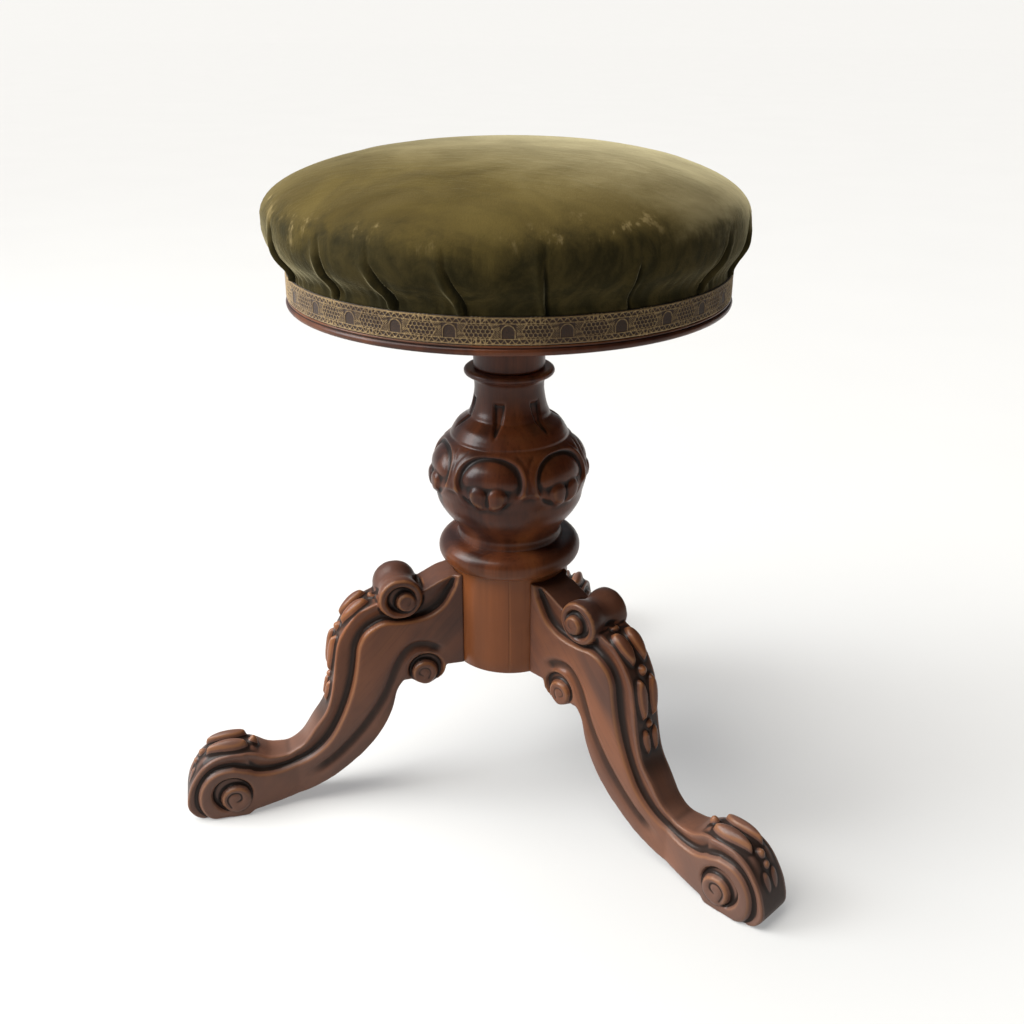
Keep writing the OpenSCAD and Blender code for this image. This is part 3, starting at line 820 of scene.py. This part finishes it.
wrought_iron = iron("wrought_iron", colour(58, 56, 55), 0.8, 0.48)
screw_steel = iron("screw_steel", colour(98, 94, 88), 0.5, 0.38)
finish_nodes(wrought_iron, "wrought_iron", "tie_plate")
finish_nodes(screw_steel, "steel_fixings", "tie_plate_screws")

# ---- Nut, lifting screw and its stop -----------------------------------------
# The flanged iron nut is let into the top of the column with three screws. The
# lifting screw has a square thread, turned on a lathe and greased. Its reduced tail
# carries a loose washer on a cross pin, which meets the nut at the top of the lift.

finish_nodes(wrought_iron, "wrought_iron", "screw_nut", "stop_washer")
finish_nodes(screw_steel, "steel_fixings", "nut_screws", "stop_pin")

pitch = 8.5
crest_r, root_r, tail_r, spigot_r = 11.0, 8.0, 5.0, 8.0
screw_bottom, screw_top = (corner.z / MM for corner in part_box("lift_screw"))
tail_top = 219.4
thread_start, thread_end, shank_foot = 221.4, 367.8, 369.75
plate_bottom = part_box("top_plate")[0].z / MM
thread_columns = 72
profile = [(0.02, root_r), (0.17, root_r), (0.26, crest_r - 0.25), (0.29, crest_r), (0.70, crest_r),
           (0.73, crest_r - 0.25), (0.82, root_r), (0.98, root_r)]
rings = [(0.0, screw_bottom), (tail_r - 0.6, screw_bottom), (tail_r, screw_bottom + 0.8), (tail_r, tail_top),
         (root_r - 0.4, tail_top), (root_r, tail_top + 0.4)]
rows = [[(radius, level)] * (thread_columns + 1) for radius, level in rings]
first_turn = int(thread_start // pitch) - 1
for turn_number in range(first_turn, int(thread_end // pitch) + 1):
    for phase, radius in profile:
        row = []
        for column_number in range(thread_columns + 1):
            level = pitch * (turn_number + phase + column_number / thread_columns)
            grown = float(ease(level, thread_start, thread_start + 3.5))
            run_out = float(ease(level, thread_end - 3.0, thread_end))
            out = root_r + (radius - root_r) * grown
            row.append((out + (crest_r - out) * run_out, min(max(level, tail_top + 0.5), shank_foot)))
        rows.append(row)
rings = [(crest_r, shank_foot + 0.1), (crest_r, plate_bottom - 0.02), (spigot_r, plate_bottom),
         (spigot_r, screw_top - 0.5), (spigot_r - 0.6, screw_top), (0.0, screw_top)]
rows += [[(radius, level)] * (thread_columns + 1) for radius, level in rings]
rows = np.array(rows)
angle = np.linspace(0, 2 * np.pi, thread_columns + 1)
points = np.stack([rows[..., 0] * np.cos(angle), rows[..., 0] * np.sin(angle), rows[..., 1]], -1)
i, j = np.meshgrid(np.arange(len(rows) - 1), np.arange(thread_columns), indexing="ij")
wide = thread_columns + 1
faces = np.stack([i * wide + j, i * wide + j + 1, (i + 1) * wide + j + 1, (i + 1) * wide + j], -1)
lift_screw = mesh_object("lift_screw_turned", points.reshape(-1, 3), faces.reshape(-1, 4))


def welded(piece, gap):
    """Joins points closer than gap, drops faces without area and turns the rest outward."""
    work = bmesh.new()
    work.from_mesh(piece.data)
    bmesh.ops.remove_doubles(work, verts=work.verts, dist=gap)
    bmesh.ops.dissolve_degenerate(work, edges=work.edges, dist=gap)
    bmesh.ops.recalc_face_normals(work, faces=work.faces)
    work.to_mesh(piece.data)
    work.free()


welded(lift_screw, 0.00002)
lift_screw.data.shade_smooth()
lift_screw.data.set_sharp_from_angle(angle=math.radians(40))
greased = Finish("greased_iron", metallic=0.9, specular=0.5)
smear = greased.noise(70.0, 4.0, greased.stretched((1.0, 1.0, 3.0)))
turning = greased.noise(30.0, 2.0, greased.stretched((0.2, 0.2, 60.0)))
greased.set(
    base_color=greased.mix(greased.ramp(smear, 0.40, 0.64), colour(120, 116, 108), colour(52, 44, 36)),
    roughness=greased.ramp(smear, 0.3, 0.7, 0.24, 0.50),
    normal=greased.bump(turning, 0.00006))
lift_screw.data.materials.append(greased.material)
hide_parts("lift_screw")
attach(lift_screw, body_of(frame["nodes"]["lift_screw"])[0])

# ---- Boss and top plate ------------------------------------------------------
# A short turned walnut boss covers the head of the screw. The screw is riveted
# into an iron plate, which is let into the seat board and screwed to it, and the
# boss is screwed up against it from above before the seat is stuffed.


def ring_piece(name, outer, inner, columns, spacing, round_off):
    """A turning with a hole: an outer line and an inner line, both from the bottom up."""
    line = resampled(outer, spacing, round_off)
    loop = np.vstack([line, np.array(inner, float)[::-1]])
    spread = max(1, int(2.5 / spacing))
    share = np.ones(2 * spread + 1) / (2 * spread + 1)
    mean = np.convolve(np.pad(line[:, 0], spread, mode="edge"), share, "valid")
    # Dips in the outline get painted shade in the walnut, and rounds get a painted highlight with wear.
    dips = np.r_[np.clip((mean - line[:, 0]) / 0.8, -1, 1), np.zeros(len(inner))]
    points, faces = turned(loop, columns)
    return mesh_object(name, points, faces, sharp=50, hollow=np.repeat(dips, columns))


boss_bottom, boss_top = (corner.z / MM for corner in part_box("boss"))
boss_line = [[12.5, boss_bottom], [27.0, boss_bottom], [27.8, boss_bottom + 0.8], [27.8, 388], [29.4, 389.5],
             [29.4, 392]] + smooth([[27.8, 393.5], [26.8, 400], [28.4, 411], [33, 419]], 6) + [
             [34, 420], [34, boss_top], [12.5, boss_top]]
boss_hole = [[crest_r, boss_bottom + 0.3], [crest_r, boss_top - 0.3]]
boss = ring_piece("boss_turned", boss_line, boss_hole, 160, 0.7, 0.35)
boss.data.materials.append(walnut("walnut_boss"))
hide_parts("boss")
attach(boss, "seat")
finish_nodes(wrought_iron, "wrought_iron", "top_plate")
finish_nodes(screw_steel, "steel_fixings", "top_plate_screws", "boss_screws")

# ---- Seat board and walnut moulding ------------------------------------------
# The round beech board carries the stuffing. A walnut moulding, half-round with a
# fine fillet, sits in a rebate under its edge, screwed from below.

finish_nodes(beech.material, "beech", "seat_board")
finish_nodes(screw_steel, "steel_fixings", "rim_screws")
rim_bottom, rim_top = (corner.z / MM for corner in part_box("rim_moulding"))
rim_line = [[149, rim_bottom], [161.6, rim_bottom]] + arc((162.4, rim_bottom + 2.7), 2.6, -85, 62, 16) + [
    [163.3, rim_top - 1.75], [163.9, rim_top - 1.5], [163.9, rim_top - 0.5], [163.4, rim_top], [149, rim_top]]
rim_inside = [[148, rim_bottom + 0.3], [148, rim_top - 0.3]]
rim = ring_piece("rim_moulding_turned", rim_line, rim_inside, 480, 0.4, 0.16)
rim.data.materials.append(walnut("walnut_rim", grain=(math.radians(90), 0.0, 0.0)))
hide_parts("rim_moulding")
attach(rim, "seat")

# ---- Horsehair and scrim -----------------------------------------------------
# A dome of curled horsehair is tied down on the board and held in shape by an open
# jute scrim, which is tacked to the board's edge.


def fibres(name, dark, light, scale, along=(1.0, 1.0, 1.0), depth=0.0006):
    stuff = Finish(name, roughness=0.95, specular=0.2)
    strand = stuff.noise(scale, 4.0, stuff.stretched(along), 0.7, 2.5)
    stuff.set(base_color=stuff.mix(stuff.ramp(strand, 0.35, 0.65), dark, light),
              normal=stuff.bump(strand, depth))
    return stuff.material


horsehair = fibres("horsehair", colour(24, 18, 14), colour(92, 74, 56), 260.0)
jute = fibres("jute_scrim", colour(120, 98, 62), colour(190, 166, 120), 520.0, (1.0, 1.0, 0.3))
finish_nodes(horsehair, "horsehair", "horsehair_stuffing")
finish_nodes(jute, "jute_scrim", "scrim_cover")

# ---- Velvet cover and its wadding --------------------------------------------
# One round of cotton velvet over a layer of cotton wadding, drawn down, pleated round
# the side to take up the fullness, and tacked to the edge of the board. The nap is worn pale
# on the crown, which is painted paler still towards the back as a painted sheen and darker
# towards the front as painted shade. The cover keeps its darker olive green down the side,
# which is painted darker still as painted shade.

velvet_t, wadding_t = 1.6, 4.4
skirt_r, skirt_bottom = 161.0, rim_top
board_top = 449.0
wide_z, crown_power = 487.5, 0.9
cushion_r = (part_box("velvet_cover")[1].x - AXIS.x) / MM
seat_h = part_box("velvet_cover")[1].z / MM


def pad_parts(inset, crown_steps=40):
    """Half section of the pad, drawn in by inset: an S-shaped wall, a low crown and its middle."""
    r, h = cushion_r - inset, seat_h - wide_z - inset
    throat = skirt_r + velvet_t - inset
    wall = smooth([[throat, board_top], [throat + 0.8, board_top + 3], [throat + 3.5, board_top + 10],
                   [r - 3.2, wide_z - 18], [r - 0.6, wide_z - 7]], 8)
    t = np.radians(np.linspace(0, 90, crown_steps + 1))[:-1]
    crown = np.stack([r * np.cos(t) ** crown_power, wide_z + h * np.sin(t) ** crown_power], 1)
    return wall, crown.tolist(), [[0.0, wide_z + h]]


def pad_line(inset):
    wall, crown, middle = pad_parts(inset)
    return wall + crown + middle


# Pleats round the side, in degrees from the front: where each one meets the braid, and
# how far round it leans on its way up. Reach is how high it goes, in millimetres.
view_side = math.degrees(view_turn) - 90
pleat_foot = np.array([-82, -64, -43, -26, -10, 8, 28, 51, 71, 90, 109, 127, 146, 165, 184, 203, 222,
                       241, 260.0])
pleat_lean = np.array([0, 0, 0, -4, -3, -0.5, 0, 6, 2, -3, 2, 3, -2, -3, 2, 1, -2, 3, -3.0])
draw = np.random.default_rng(11)
pleat_reach = 37 + 9 * draw.random(len(pleat_foot))
pleat_depth = 0.8 + 0.45 * draw.random(len(pleat_foot))


def round_gap(angle, target):
    """Signed difference between two angles, in radians."""
    return (angle - target + np.pi) % (2 * np.pi) - np.pi


def stuffed(columns, rows):
    """How far the filled cover stands off its plain form: a cloth simulation of the pad,
    blown up gently while it is held along the braid and down each pleat."""
    voxel, furthest, above_form = 0.0055, 0.012, 0.02
    line = [[0.0, board_top - 6], [skirt_r - 8, board_top - 6]] + resampled(pad_line(4.0), 7.0).tolist()
    pad = mesh_object("pad_form", *turned(line, 96))
    fine = pad.modifiers.new("fine", "REMESH")
    fine.mode, fine.voxel_size = "VOXEL", voxel
    graph = bpy.context.evaluated_depsgraph_get()
    pad.data = bpy.data.meshes.new_from_object(pad.evaluated_get(graph))
    pad.modifiers.clear()
    held = pad.vertex_groups.new(name="held")
    for vertex in pad.data.vertices:
        level = vertex.co.z / MM
        round_at = math.atan2(vertex.co.y, vertex.co.x)
        off = np.abs(round_gap(round_at, np.radians(view_side + pleat_foot + pleat_lean * 0.5))) * cushion_r
        below_end = pleat_reach + 4 - (level - board_top)
        line_hold = float(np.max(ease(4.5 - off, 0, 3.5) * ease(below_end, 0, 22)))
        hold = max(line_hold, float(ease(board_top + 3 - level, 0, 4)))
        if hold > 0.02:
            held.add([vertex.index], hold, "REPLACE")
    before = np.array([v.co for v in pad.data.vertices])
    cloth = pad.modifiers.new("cloth", "CLOTH")
    cloth.settings.quality = 5
    cloth.settings.mass = 0.3
    cloth.settings.tension_stiffness = cloth.settings.compression_stiffness = 12
    cloth.settings.bending_stiffness = 0.6
    cloth.settings.use_pressure = True
    cloth.settings.uniform_pressure_force = 4.0
    cloth.settings.vertex_group_mass = "held"
    cloth.settings.effector_weights.gravity = 0.0
    for step in range(1, 21):
        bpy.context.scene.frame_set(step)
    graph = bpy.context.evaluated_depsgraph_get()
    filled = bpy.data.meshes.new_from_object(pad.evaluated_get(graph))
    after = np.array([v.co for v in filled.vertices])
    move = after - before
    far = np.linalg.norm(move, axis=1, keepdims=True)
    after = before + move * np.minimum(1, furthest / np.maximum(far, 1e-9))
    tree = BVHTree.FromPolygons(after.tolist(), [tuple(p.vertices) for p in filled.polygons])
    stand_off = np.zeros((len(rows), len(columns)))
    tangent = np.gradient(rows, axis=0)
    normal = np.stack([tangent[:, 1], -tangent[:, 0]], 1)
    normal /= np.linalg.norm(normal, axis=1, keepdims=True)
    for n, ((radius, level), (out, up)) in enumerate(zip(rows, normal)):
        for m, at in enumerate(columns):
            face = Vector((out * math.cos(at), out * math.sin(at), up))
            start = Vector((radius * math.cos(at), radius * math.sin(at), level)) * MM + face * above_form
            hit = tree.ray_cast(start, -face, 3 * above_form)[3]
            stand_off[n, m] = (above_form - hit) / MM if hit is not None else 0.0
    bpy.data.objects.remove(pad)
    bpy.context.scene.frame_set(1)
    return stand_off


# Columns are packed closer round each pleat.
foot_at = np.radians(view_side + pleat_foot)
around = np.linspace(0, 2 * np.pi, 4001)
crowding = 1 + sum(3.2 * np.exp(-(round_gap(around, at + math.radians(lean / 2)) / 0.045) ** 2)
                   for at, lean in zip(foot_at, pleat_lean))
share = np.r_[0, np.cumsum((crowding[1:] + crowding[:-1]) / 2)]
cover_columns = np.interp(np.linspace(0, share[-1], 640, endpoint=False), share, around)

wall_rows = resampled(pad_parts(0.0)[0], 1.3)
crown_rows = resampled(pad_parts(0.0, 160)[1], 3.4)
cover_rows = np.vstack([wall_rows, crown_rows[1:]])
cover_rows = cover_rows[cover_rows[:, 0] > 4]
cover_at, cover_r = np.meshgrid(cover_columns, cover_rows[:, 0])
cover_z = np.repeat(cover_rows[:, 1:], len(cover_columns), 1)
above = cover_z - board_top

fill_out = np.zeros_like(cover_r)
coarse_columns = np.linspace(0, 2 * np.pi, 240, endpoint=False)
coarse_rows = resampled(cover_rows, 5.0)
coarse = stuffed(coarse_columns, coarse_rows)
coarse = blurred(np.clip(coarse - np.median(coarse), -4, 4), 1)
level_run = np.r_[0, np.cumsum(np.linalg.norm(np.diff(cover_rows, axis=0), axis=1))]
coarse_run = np.r_[0, np.cumsum(np.linalg.norm(np.diff(coarse_rows, axis=0), axis=1))]
by_column = np.stack([np.interp(cover_columns, np.r_[coarse_columns, 2 * np.pi], np.r_[row, row[0]])
                      for row in coarse])
fill_out = np.stack([np.interp(level_run, coarse_run * level_run[-1] / coarse_run[-1], by_column[:, m])
                     for m in range(by_column.shape[1])], 1)
fill_out *= 0.5 * ease(above, 0, 6) * (1 - 0.6 * ease(above, 45, 70))

pleats = np.zeros_like(cover_r)
fold_shade = np.zeros_like(cover_r)
for at, lean, reach, depth in zip(foot_at, pleat_lean, pleat_reach, pleat_depth):
    rise = np.clip(above / reach, 0, 1.3)
    centre = at + math.radians(lean) * rise + 0.012 * np.sin(2.4 * rise + at * 3)
    side = -1 if math.cos(at - math.radians(view_side)) > 0 and lean <= 0 else 1
    off = side * -1 * round_gap(cover_at, centre) * cushion_r
    strength = depth * ease(1.12 - rise, 0, 0.75) * (above > -1)
    fold = 2.3 * np.exp(-((off + 3.2 + 1.5 * rise) / 2.6) ** 2) - 3.2 * np.exp(-((off - 0.6) / 1.35) ** 2)
    fold -= 0.9 * np.exp(-((off - 5.5) / 5.0) ** 2)
    pleats += strength * fold
    fold_shade += strength * np.exp(-((off - 0.6) / 1.5) ** 2)
gathers = 0.35 * np.sin(cover_at * 131 + 2.1 * np.sin(cover_at * 7)) * ease(26 - above, 0, 22)
puff = 1.2 * np.sin(np.pi * np.clip(above / 42, 0, 1)) ** 2
dents = sum(size * np.sin(k * cover_at + p) * np.sin(m * np.pi * np.clip(above / 85, 0, 1) + q)
            for size, k, p, m, q in ((0.4, 3, 0.4, 2, 0.2), (0.35, 5, 2.0, 3, 1.0), (0.25, 9, 4.4, 2, 2.1)))
dents = dents * ease(cover_r, 60, 150)
# The stuffing has settled towards the viewer's left, where the pad overhangs the braid more.
settled = 2.6 * (1 + np.cos(cover_at - view_turn - math.pi)) * np.exp(-((above - 36) / 24) ** 2)
push = fill_out + pleats + gathers + puff + dents + settled
push = np.clip(push, -3.6, 9.0) * ease(above, -0.5, 2.5)

tangent = np.gradient(cover_rows, axis=0)
normal = np.stack([tangent[:, 1], -tangent[:, 0]], 1)
normal /= np.linalg.norm(normal, axis=1, keepdims=True)
puffed_r = cover_r + push * normal[:, :1]
puffed_z = cover_z + np.minimum(push, 4.0) * normal[:, 1:]


def lofted(radius, level, at):
    return np.stack([radius * np.cos(at), radius * np.sin(at), level], -1)


def shell(name, sheets, top_outer, top_inner, **attributes):
    """A layer of cloth: grids from the outside bottom up over the crown, then the inside back down."""
    outer, inner = sheets
    columns = outer.shape[1]
    count = outer.shape[0] * columns
    points = np.vstack([outer.reshape(-1, 3), inner.reshape(-1, 3),
                        [[0, 0, top_outer], [0, 0, top_inner]]])
    faces = grid_faces(outer.shape[0], columns)
    faces += [face[::-1] for face in grid_faces(inner.shape[0], columns, first=count)]
    centre = len(points) - 2
    last_outer, last_inner = count - columns, len(points) - 2 - columns
    for j in range(columns):
        k = (j + 1) % columns
        faces.append([j, count + j, count + k, k])
        faces.append([last_outer + j, last_outer + k, centre])
        faces.append([last_inner + k, last_inner + j, centre + 1])
    return mesh_object(name, points, faces, **attributes)


def thin_rows(grid, keep):
    return np.concatenate([grid[:-1:keep], grid[-1:]])


skirt = np.linspace(skirt_bottom + 0.2, board_top - 0.4, 4)
skirt_at = np.repeat(cover_columns[None], len(skirt), 0)
skirt_level = np.repeat(skirt[:, None], len(cover_columns), 1)
outer = np.concatenate([lofted(np.full_like(skirt_at, skirt_r + velvet_t - 0.05), skirt_level, skirt_at),
                        lofted(puffed_r, puffed_z, cover_at)])
inner_r = puffed_r - velvet_t * normal[:, :1]
inner_z = puffed_z - velvet_t * normal[:, 1:]
inner_cover = thin_rows(lofted(inner_r, inner_z, cover_at), 3)
inner = np.concatenate([lofted(np.full_like(skirt_at, skirt_r + 0.05), skirt_level, skirt_at), inner_cover])
crown_top = float(puffed_z[-1].mean())
folds = np.concatenate([np.zeros_like(skirt_at), fold_shade])
folds = np.r_[folds.ravel(), np.zeros(inner.shape[0] * inner.shape[1] + 2)]
cover = shell("velvet_cushion", (outer, inner), crown_top, crown_top - velvet_t, fold=folds)

velvet = Finish("olive_velvet", specular=0.06, sheen_weight=0.75, sheen_roughness=0.26,
                sheen_tint=colour(199, 188, 147))
height = velvet.add("SeparateXYZ", {0: velvet.place}).outputs
blotch = velvet.noise(15.0, 5.0, None, 0.62, 0.5)
patch = velvet.noise(6.5, 3.0, None, 0.5, 0.8)
brushed = velvet.noise(46.0, 4.0, velvet.stretched((1.0, 2.4, 1.0)), 0.6, 0.4)
nap = velvet.noise(900.0, 2.0)
streak = velvet.noise(95.0, 4.0, velvet.stretched((1.0, 1.0, 0.16)), 0.65)
edge = velvet.sum("ADD", height[2], velvet.ramp(blotch, 0.3, 0.7, -0.009, 0.009))
edge = velvet.sum("ADD", edge, velvet.ramp(streak, 0.35, 0.65, -0.003, 0.003))
on_crown = velvet.ramp(edge, 0.482, 0.504)
# Down the side the unworn darker olive is painted darker still, as painted shade.
side_tone = velvet.mix(velvet.ramp(brushed, 0.35, 0.68), colour(35, 31, 14), colour(56, 48, 24))
crown_tone = velvet.mix(velvet.ramp(blotch, 0.30, 0.72), colour(64, 53, 23), colour(80, 68, 33))
crown_tone = velvet.mix(velvet.ramp(patch, 0.42, 0.72, 0.0, 0.30), crown_tone, colour(116, 102, 63))
crown_tone = velvet.mix(velvet.ramp(brushed, 0.50, 0.72, 0.0, 0.20), crown_tone, colour(60, 53, 24))
# Painted sheen and shade: the crown is painted pale towards the back right as a painted sheen, and darker
# towards the front as painted shade.
painted_light_across = velvet.add("VectorMath", {0: velvet.place, 1: (0.25, 0.95, 0.0)}, operation="DOT_PRODUCT")
painted_light_across = velvet.sum("ADD", painted_light_across.outputs["Value"], velvet.ramp(blotch, 0.25, 0.75, -0.028, 0.028))
crown_tone = velvet.mix(velvet.ramp(painted_light_across, -0.11, 0.15, 0.0, 0.80), crown_tone, colour(178, 168, 134))
crown_tone = velvet.mix(velvet.ramp(painted_light_across, -0.10, -0.19, 0.0, 0.40), crown_tone, colour(52, 43, 18))
tone = velvet.mix(on_crown, side_tone, crown_tone)
brow = velvet.sum("MULTIPLY", velvet.ramp(edge, 0.488, 0.498), velvet.ramp(edge, 0.510, 0.500))
crushed = velvet.sum("MULTIPLY", brow, velvet.ramp(streak, 0.56, 0.70))
crushed = velvet.sum("MULTIPLY", crushed, velvet.ramp(height[1], -0.02, -0.12))
crushed = velvet.sum("MULTIPLY", crushed, velvet.ramp(patch, 0.48, 0.62, 0.0, 0.6))
tone = velvet.mix(crushed, tone, colour(177, 156, 110))
# Painted shade in the pleat grooves.
tone = velvet.mix(velvet.ramp(velvet.attribute("fold"), 0.10, 0.85, 0.0, 0.80), tone, colour(20, 19, 9))
velvet.set(
    base_color=tone, roughness=velvet.ramp(blotch, 0.3, 0.7, 0.78, 0.95),
    normal=velvet.bump(nap, 0.00022, 1.0, velvet.bump(brushed, 0.0009, 0.7)))
cover.data.materials.append(velvet.material)
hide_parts("velvet_cover")
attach(cover, "seat")

under = np.array(resampled(pad_line(velvet_t + wadding_t - 0.05), 6.0))
under = under[under[:, 0] > 6]
lining_at, lining_r = np.meshgrid(cover_columns, under[:, 0])
lining = lofted(lining_r, np.repeat(under[:, 1:], len(cover_columns), 1), lining_at)

# The wadding stays under the deepest place near each point of the cover.
packed = np.minimum.reduce([np.roll(push, shift, 1) for shift in range(-3, 4)])
lines = np.pad(packed, ((3, 3), (0, 0)), mode="edge")
packed = np.minimum.reduce([lines[n:n + len(packed)] for n in range(7)])
packed = packed - velvet_t - 0.15
loft = lofted(cover_r + packed * normal[:, :1], cover_z + packed * normal[:, 1:], cover_at)
loft = thin_rows(loft[1:], 3)
wadding = shell("cotton_wadding_layer", (loft[:, ::2], lining[:, ::2]), crown_top - velvet_t - 0.05,
                seat_h - velvet_t - wadding_t + 0.05)
cotton = fibres("cotton_wadding", colour(206, 200, 186), colour(236, 232, 222), 180.0, depth=0.0012)
wadding.data.materials.append(cotton)
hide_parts("cotton_wadding")
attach(wadding, "seat")

# ---- Tacks and gimp braid ----------------------------------------------------
# Blued steel tacks hold the velvet to the edge of the board. A woven gimp braid,
# gold thread on a brown ground, is glued over them: zigzag borders with a band of
# honeycomb medallions and plain arches between.

finish_nodes(screw_steel, "steel_fixings", "cover_tacks")
braid_bottom, braid_top = (corner.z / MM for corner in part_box("gimp_braid"))
braid_r = (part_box("gimp_braid")[1].x - AXIS.x) / MM
repeats, repeat_columns, braid_rows = 28, 72, 36
repeat_length = 2 * math.pi * braid_r / repeats
round_columns = repeats * repeat_columns
braid_turn = math.radians(view_side)
at = np.linspace(0, 2 * np.pi, round_columns, endpoint=False) + braid_turn
u = np.tile((np.arange(repeat_columns) + 0.5) / repeat_columns - 0.5, repeats) * repeat_length
v = np.linspace(0, braid_top - braid_bottom, braid_rows)
u, v = np.meshgrid(u, v)
v = v - (braid_top - braid_bottom) / 2


def thread_height(gap, width=0.36):
    """A round thread laid along a line: its height at that distance from the line."""
    return np.clip(1 - (gap / width) ** 2, 0, 1) ** 0.5


def zigzag(u, v, period, low, high):
    wave = np.abs((u / period) % 1 * 2 - 1)
    slope = math.hypot(1, 2 * (high - low) / period)
    return np.abs(v - (low + wave * (high - low))) / slope


tooth = repeat_length / 8
threads = np.zeros_like(u)
for up in (-1, 1):
    for line in (8.3, 4.9):
        threads = np.maximum(threads, 0.9 * thread_height(up * v - line, 0.5))
    threads = np.maximum(threads, thread_height(zigzag(u, up * v, tooth, 5.3, 8.0)))

# Honeycomb: the distance to the nearest edge between two cell centres.
cell = 2.9
centres = [(column * cell + (row % 2) * cell / 2, row * cell * 0.866)
           for row in range(-2, 3) for column in range(-4, 5)]
nearest = np.sort(np.stack([np.hypot(u - cu, v - cv) for cu, cv in centres]), axis=0)
comb = nearest[1] - nearest[0]
medallion = 10.4 - np.abs(u) - 0.62 * np.abs(v)
threads = np.where(medallion > 0, np.maximum(threads, thread_height(comb, 0.55)), threads)
threads = np.maximum(threads, np.where(np.abs(v) < 4.9, thread_height(medallion - 0.4, 0.45), 0))
plain_u = np.abs(np.abs(u) - repeat_length / 2)
arch_gap = np.abs(np.hypot(plain_u, np.maximum(v + 0.4, 0)) - 4.3)
threads = np.maximum(threads, np.where(np.abs(v) < 4.9, thread_height(arch_gap, 0.4), 0))
between = (medallion < -0.3) & (plain_u > 4.9) & (np.abs(v) < 4.9)
for ray in (-1, 1):
    rays = np.abs((ray * v - 0.9 * (np.abs(u) - 10.6)) % 1.35 - 0.675)
    threads = np.maximum(threads, np.where(between & (ray * v > 0), 0.8 * thread_height(rays, 0.42), 0))
picks = 0.12 * np.sin(2 * np.pi * u / 1.0) * np.sin(2 * np.pi * v / 1.1)
lie = 0.25 * np.sin(3 * at + 0.4) * ease(v, 2, 9)
edge_round = 0.5 * (1 - ease(9.0 - np.abs(v), 0, 1.0))
front_r = braid_r - 0.75 + 0.62 * threads + picks - edge_round + 0.1 * lie
front_z = np.linspace(braid_bottom + 0.1, braid_top, braid_rows)[:, None]
front = np.stack([front_r * np.cos(at), front_r * np.sin(at), np.repeat(front_z, round_columns, 1)], -1)
back_r = skirt_r + velvet_t + 0.02
back = np.stack([np.stack([back_r * np.cos(at), back_r * np.sin(at), np.full_like(at, level)], -1)
                 for level in (braid_top - 0.1, braid_bottom + 0.2)])
grid = np.concatenate([front, back])
shown = np.concatenate([threads, np.zeros((2, round_columns))])
faces = grid_faces(len(grid), round_columns, closed=True)
braid = mesh_object("gimp_braid_woven", grid.reshape(-1, 3), faces, gold=shown.ravel())
gimp = Finish("gimp_braid", specular=0.3, sheen_weight=0.25, sheen_roughness=0.4)
ply = gimp.noise(1500.0, 2.0, gimp.stretched((1.0, 1.0, 0.7)))
soil = gimp.noise(22.0, 4.0)
ground = gimp.mix(gimp.ramp(ply, 0.35, 0.65), colour(38, 26, 18), colour(60, 42, 29))
gold = gimp.mix(gimp.ramp(ply, 0.35, 0.65), colour(116, 92, 58), colour(154, 130, 89))
gold = gimp.mix(gimp.ramp(soil, 0.42, 0.66, 0.0, 0.60), gold, colour(88, 67, 44))
gimp.set(base_color=gimp.mix(gimp.ramp(gimp.attribute("gold"), 0.25, 0.75), ground, gold),
         roughness=gimp.ramp(ply, 0.3, 0.7, 0.62, 0.82), normal=gimp.bump(ply, 0.00018))
braid.data.materials.append(gimp.material)
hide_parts("gimp_braid")
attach(braid, "seat")
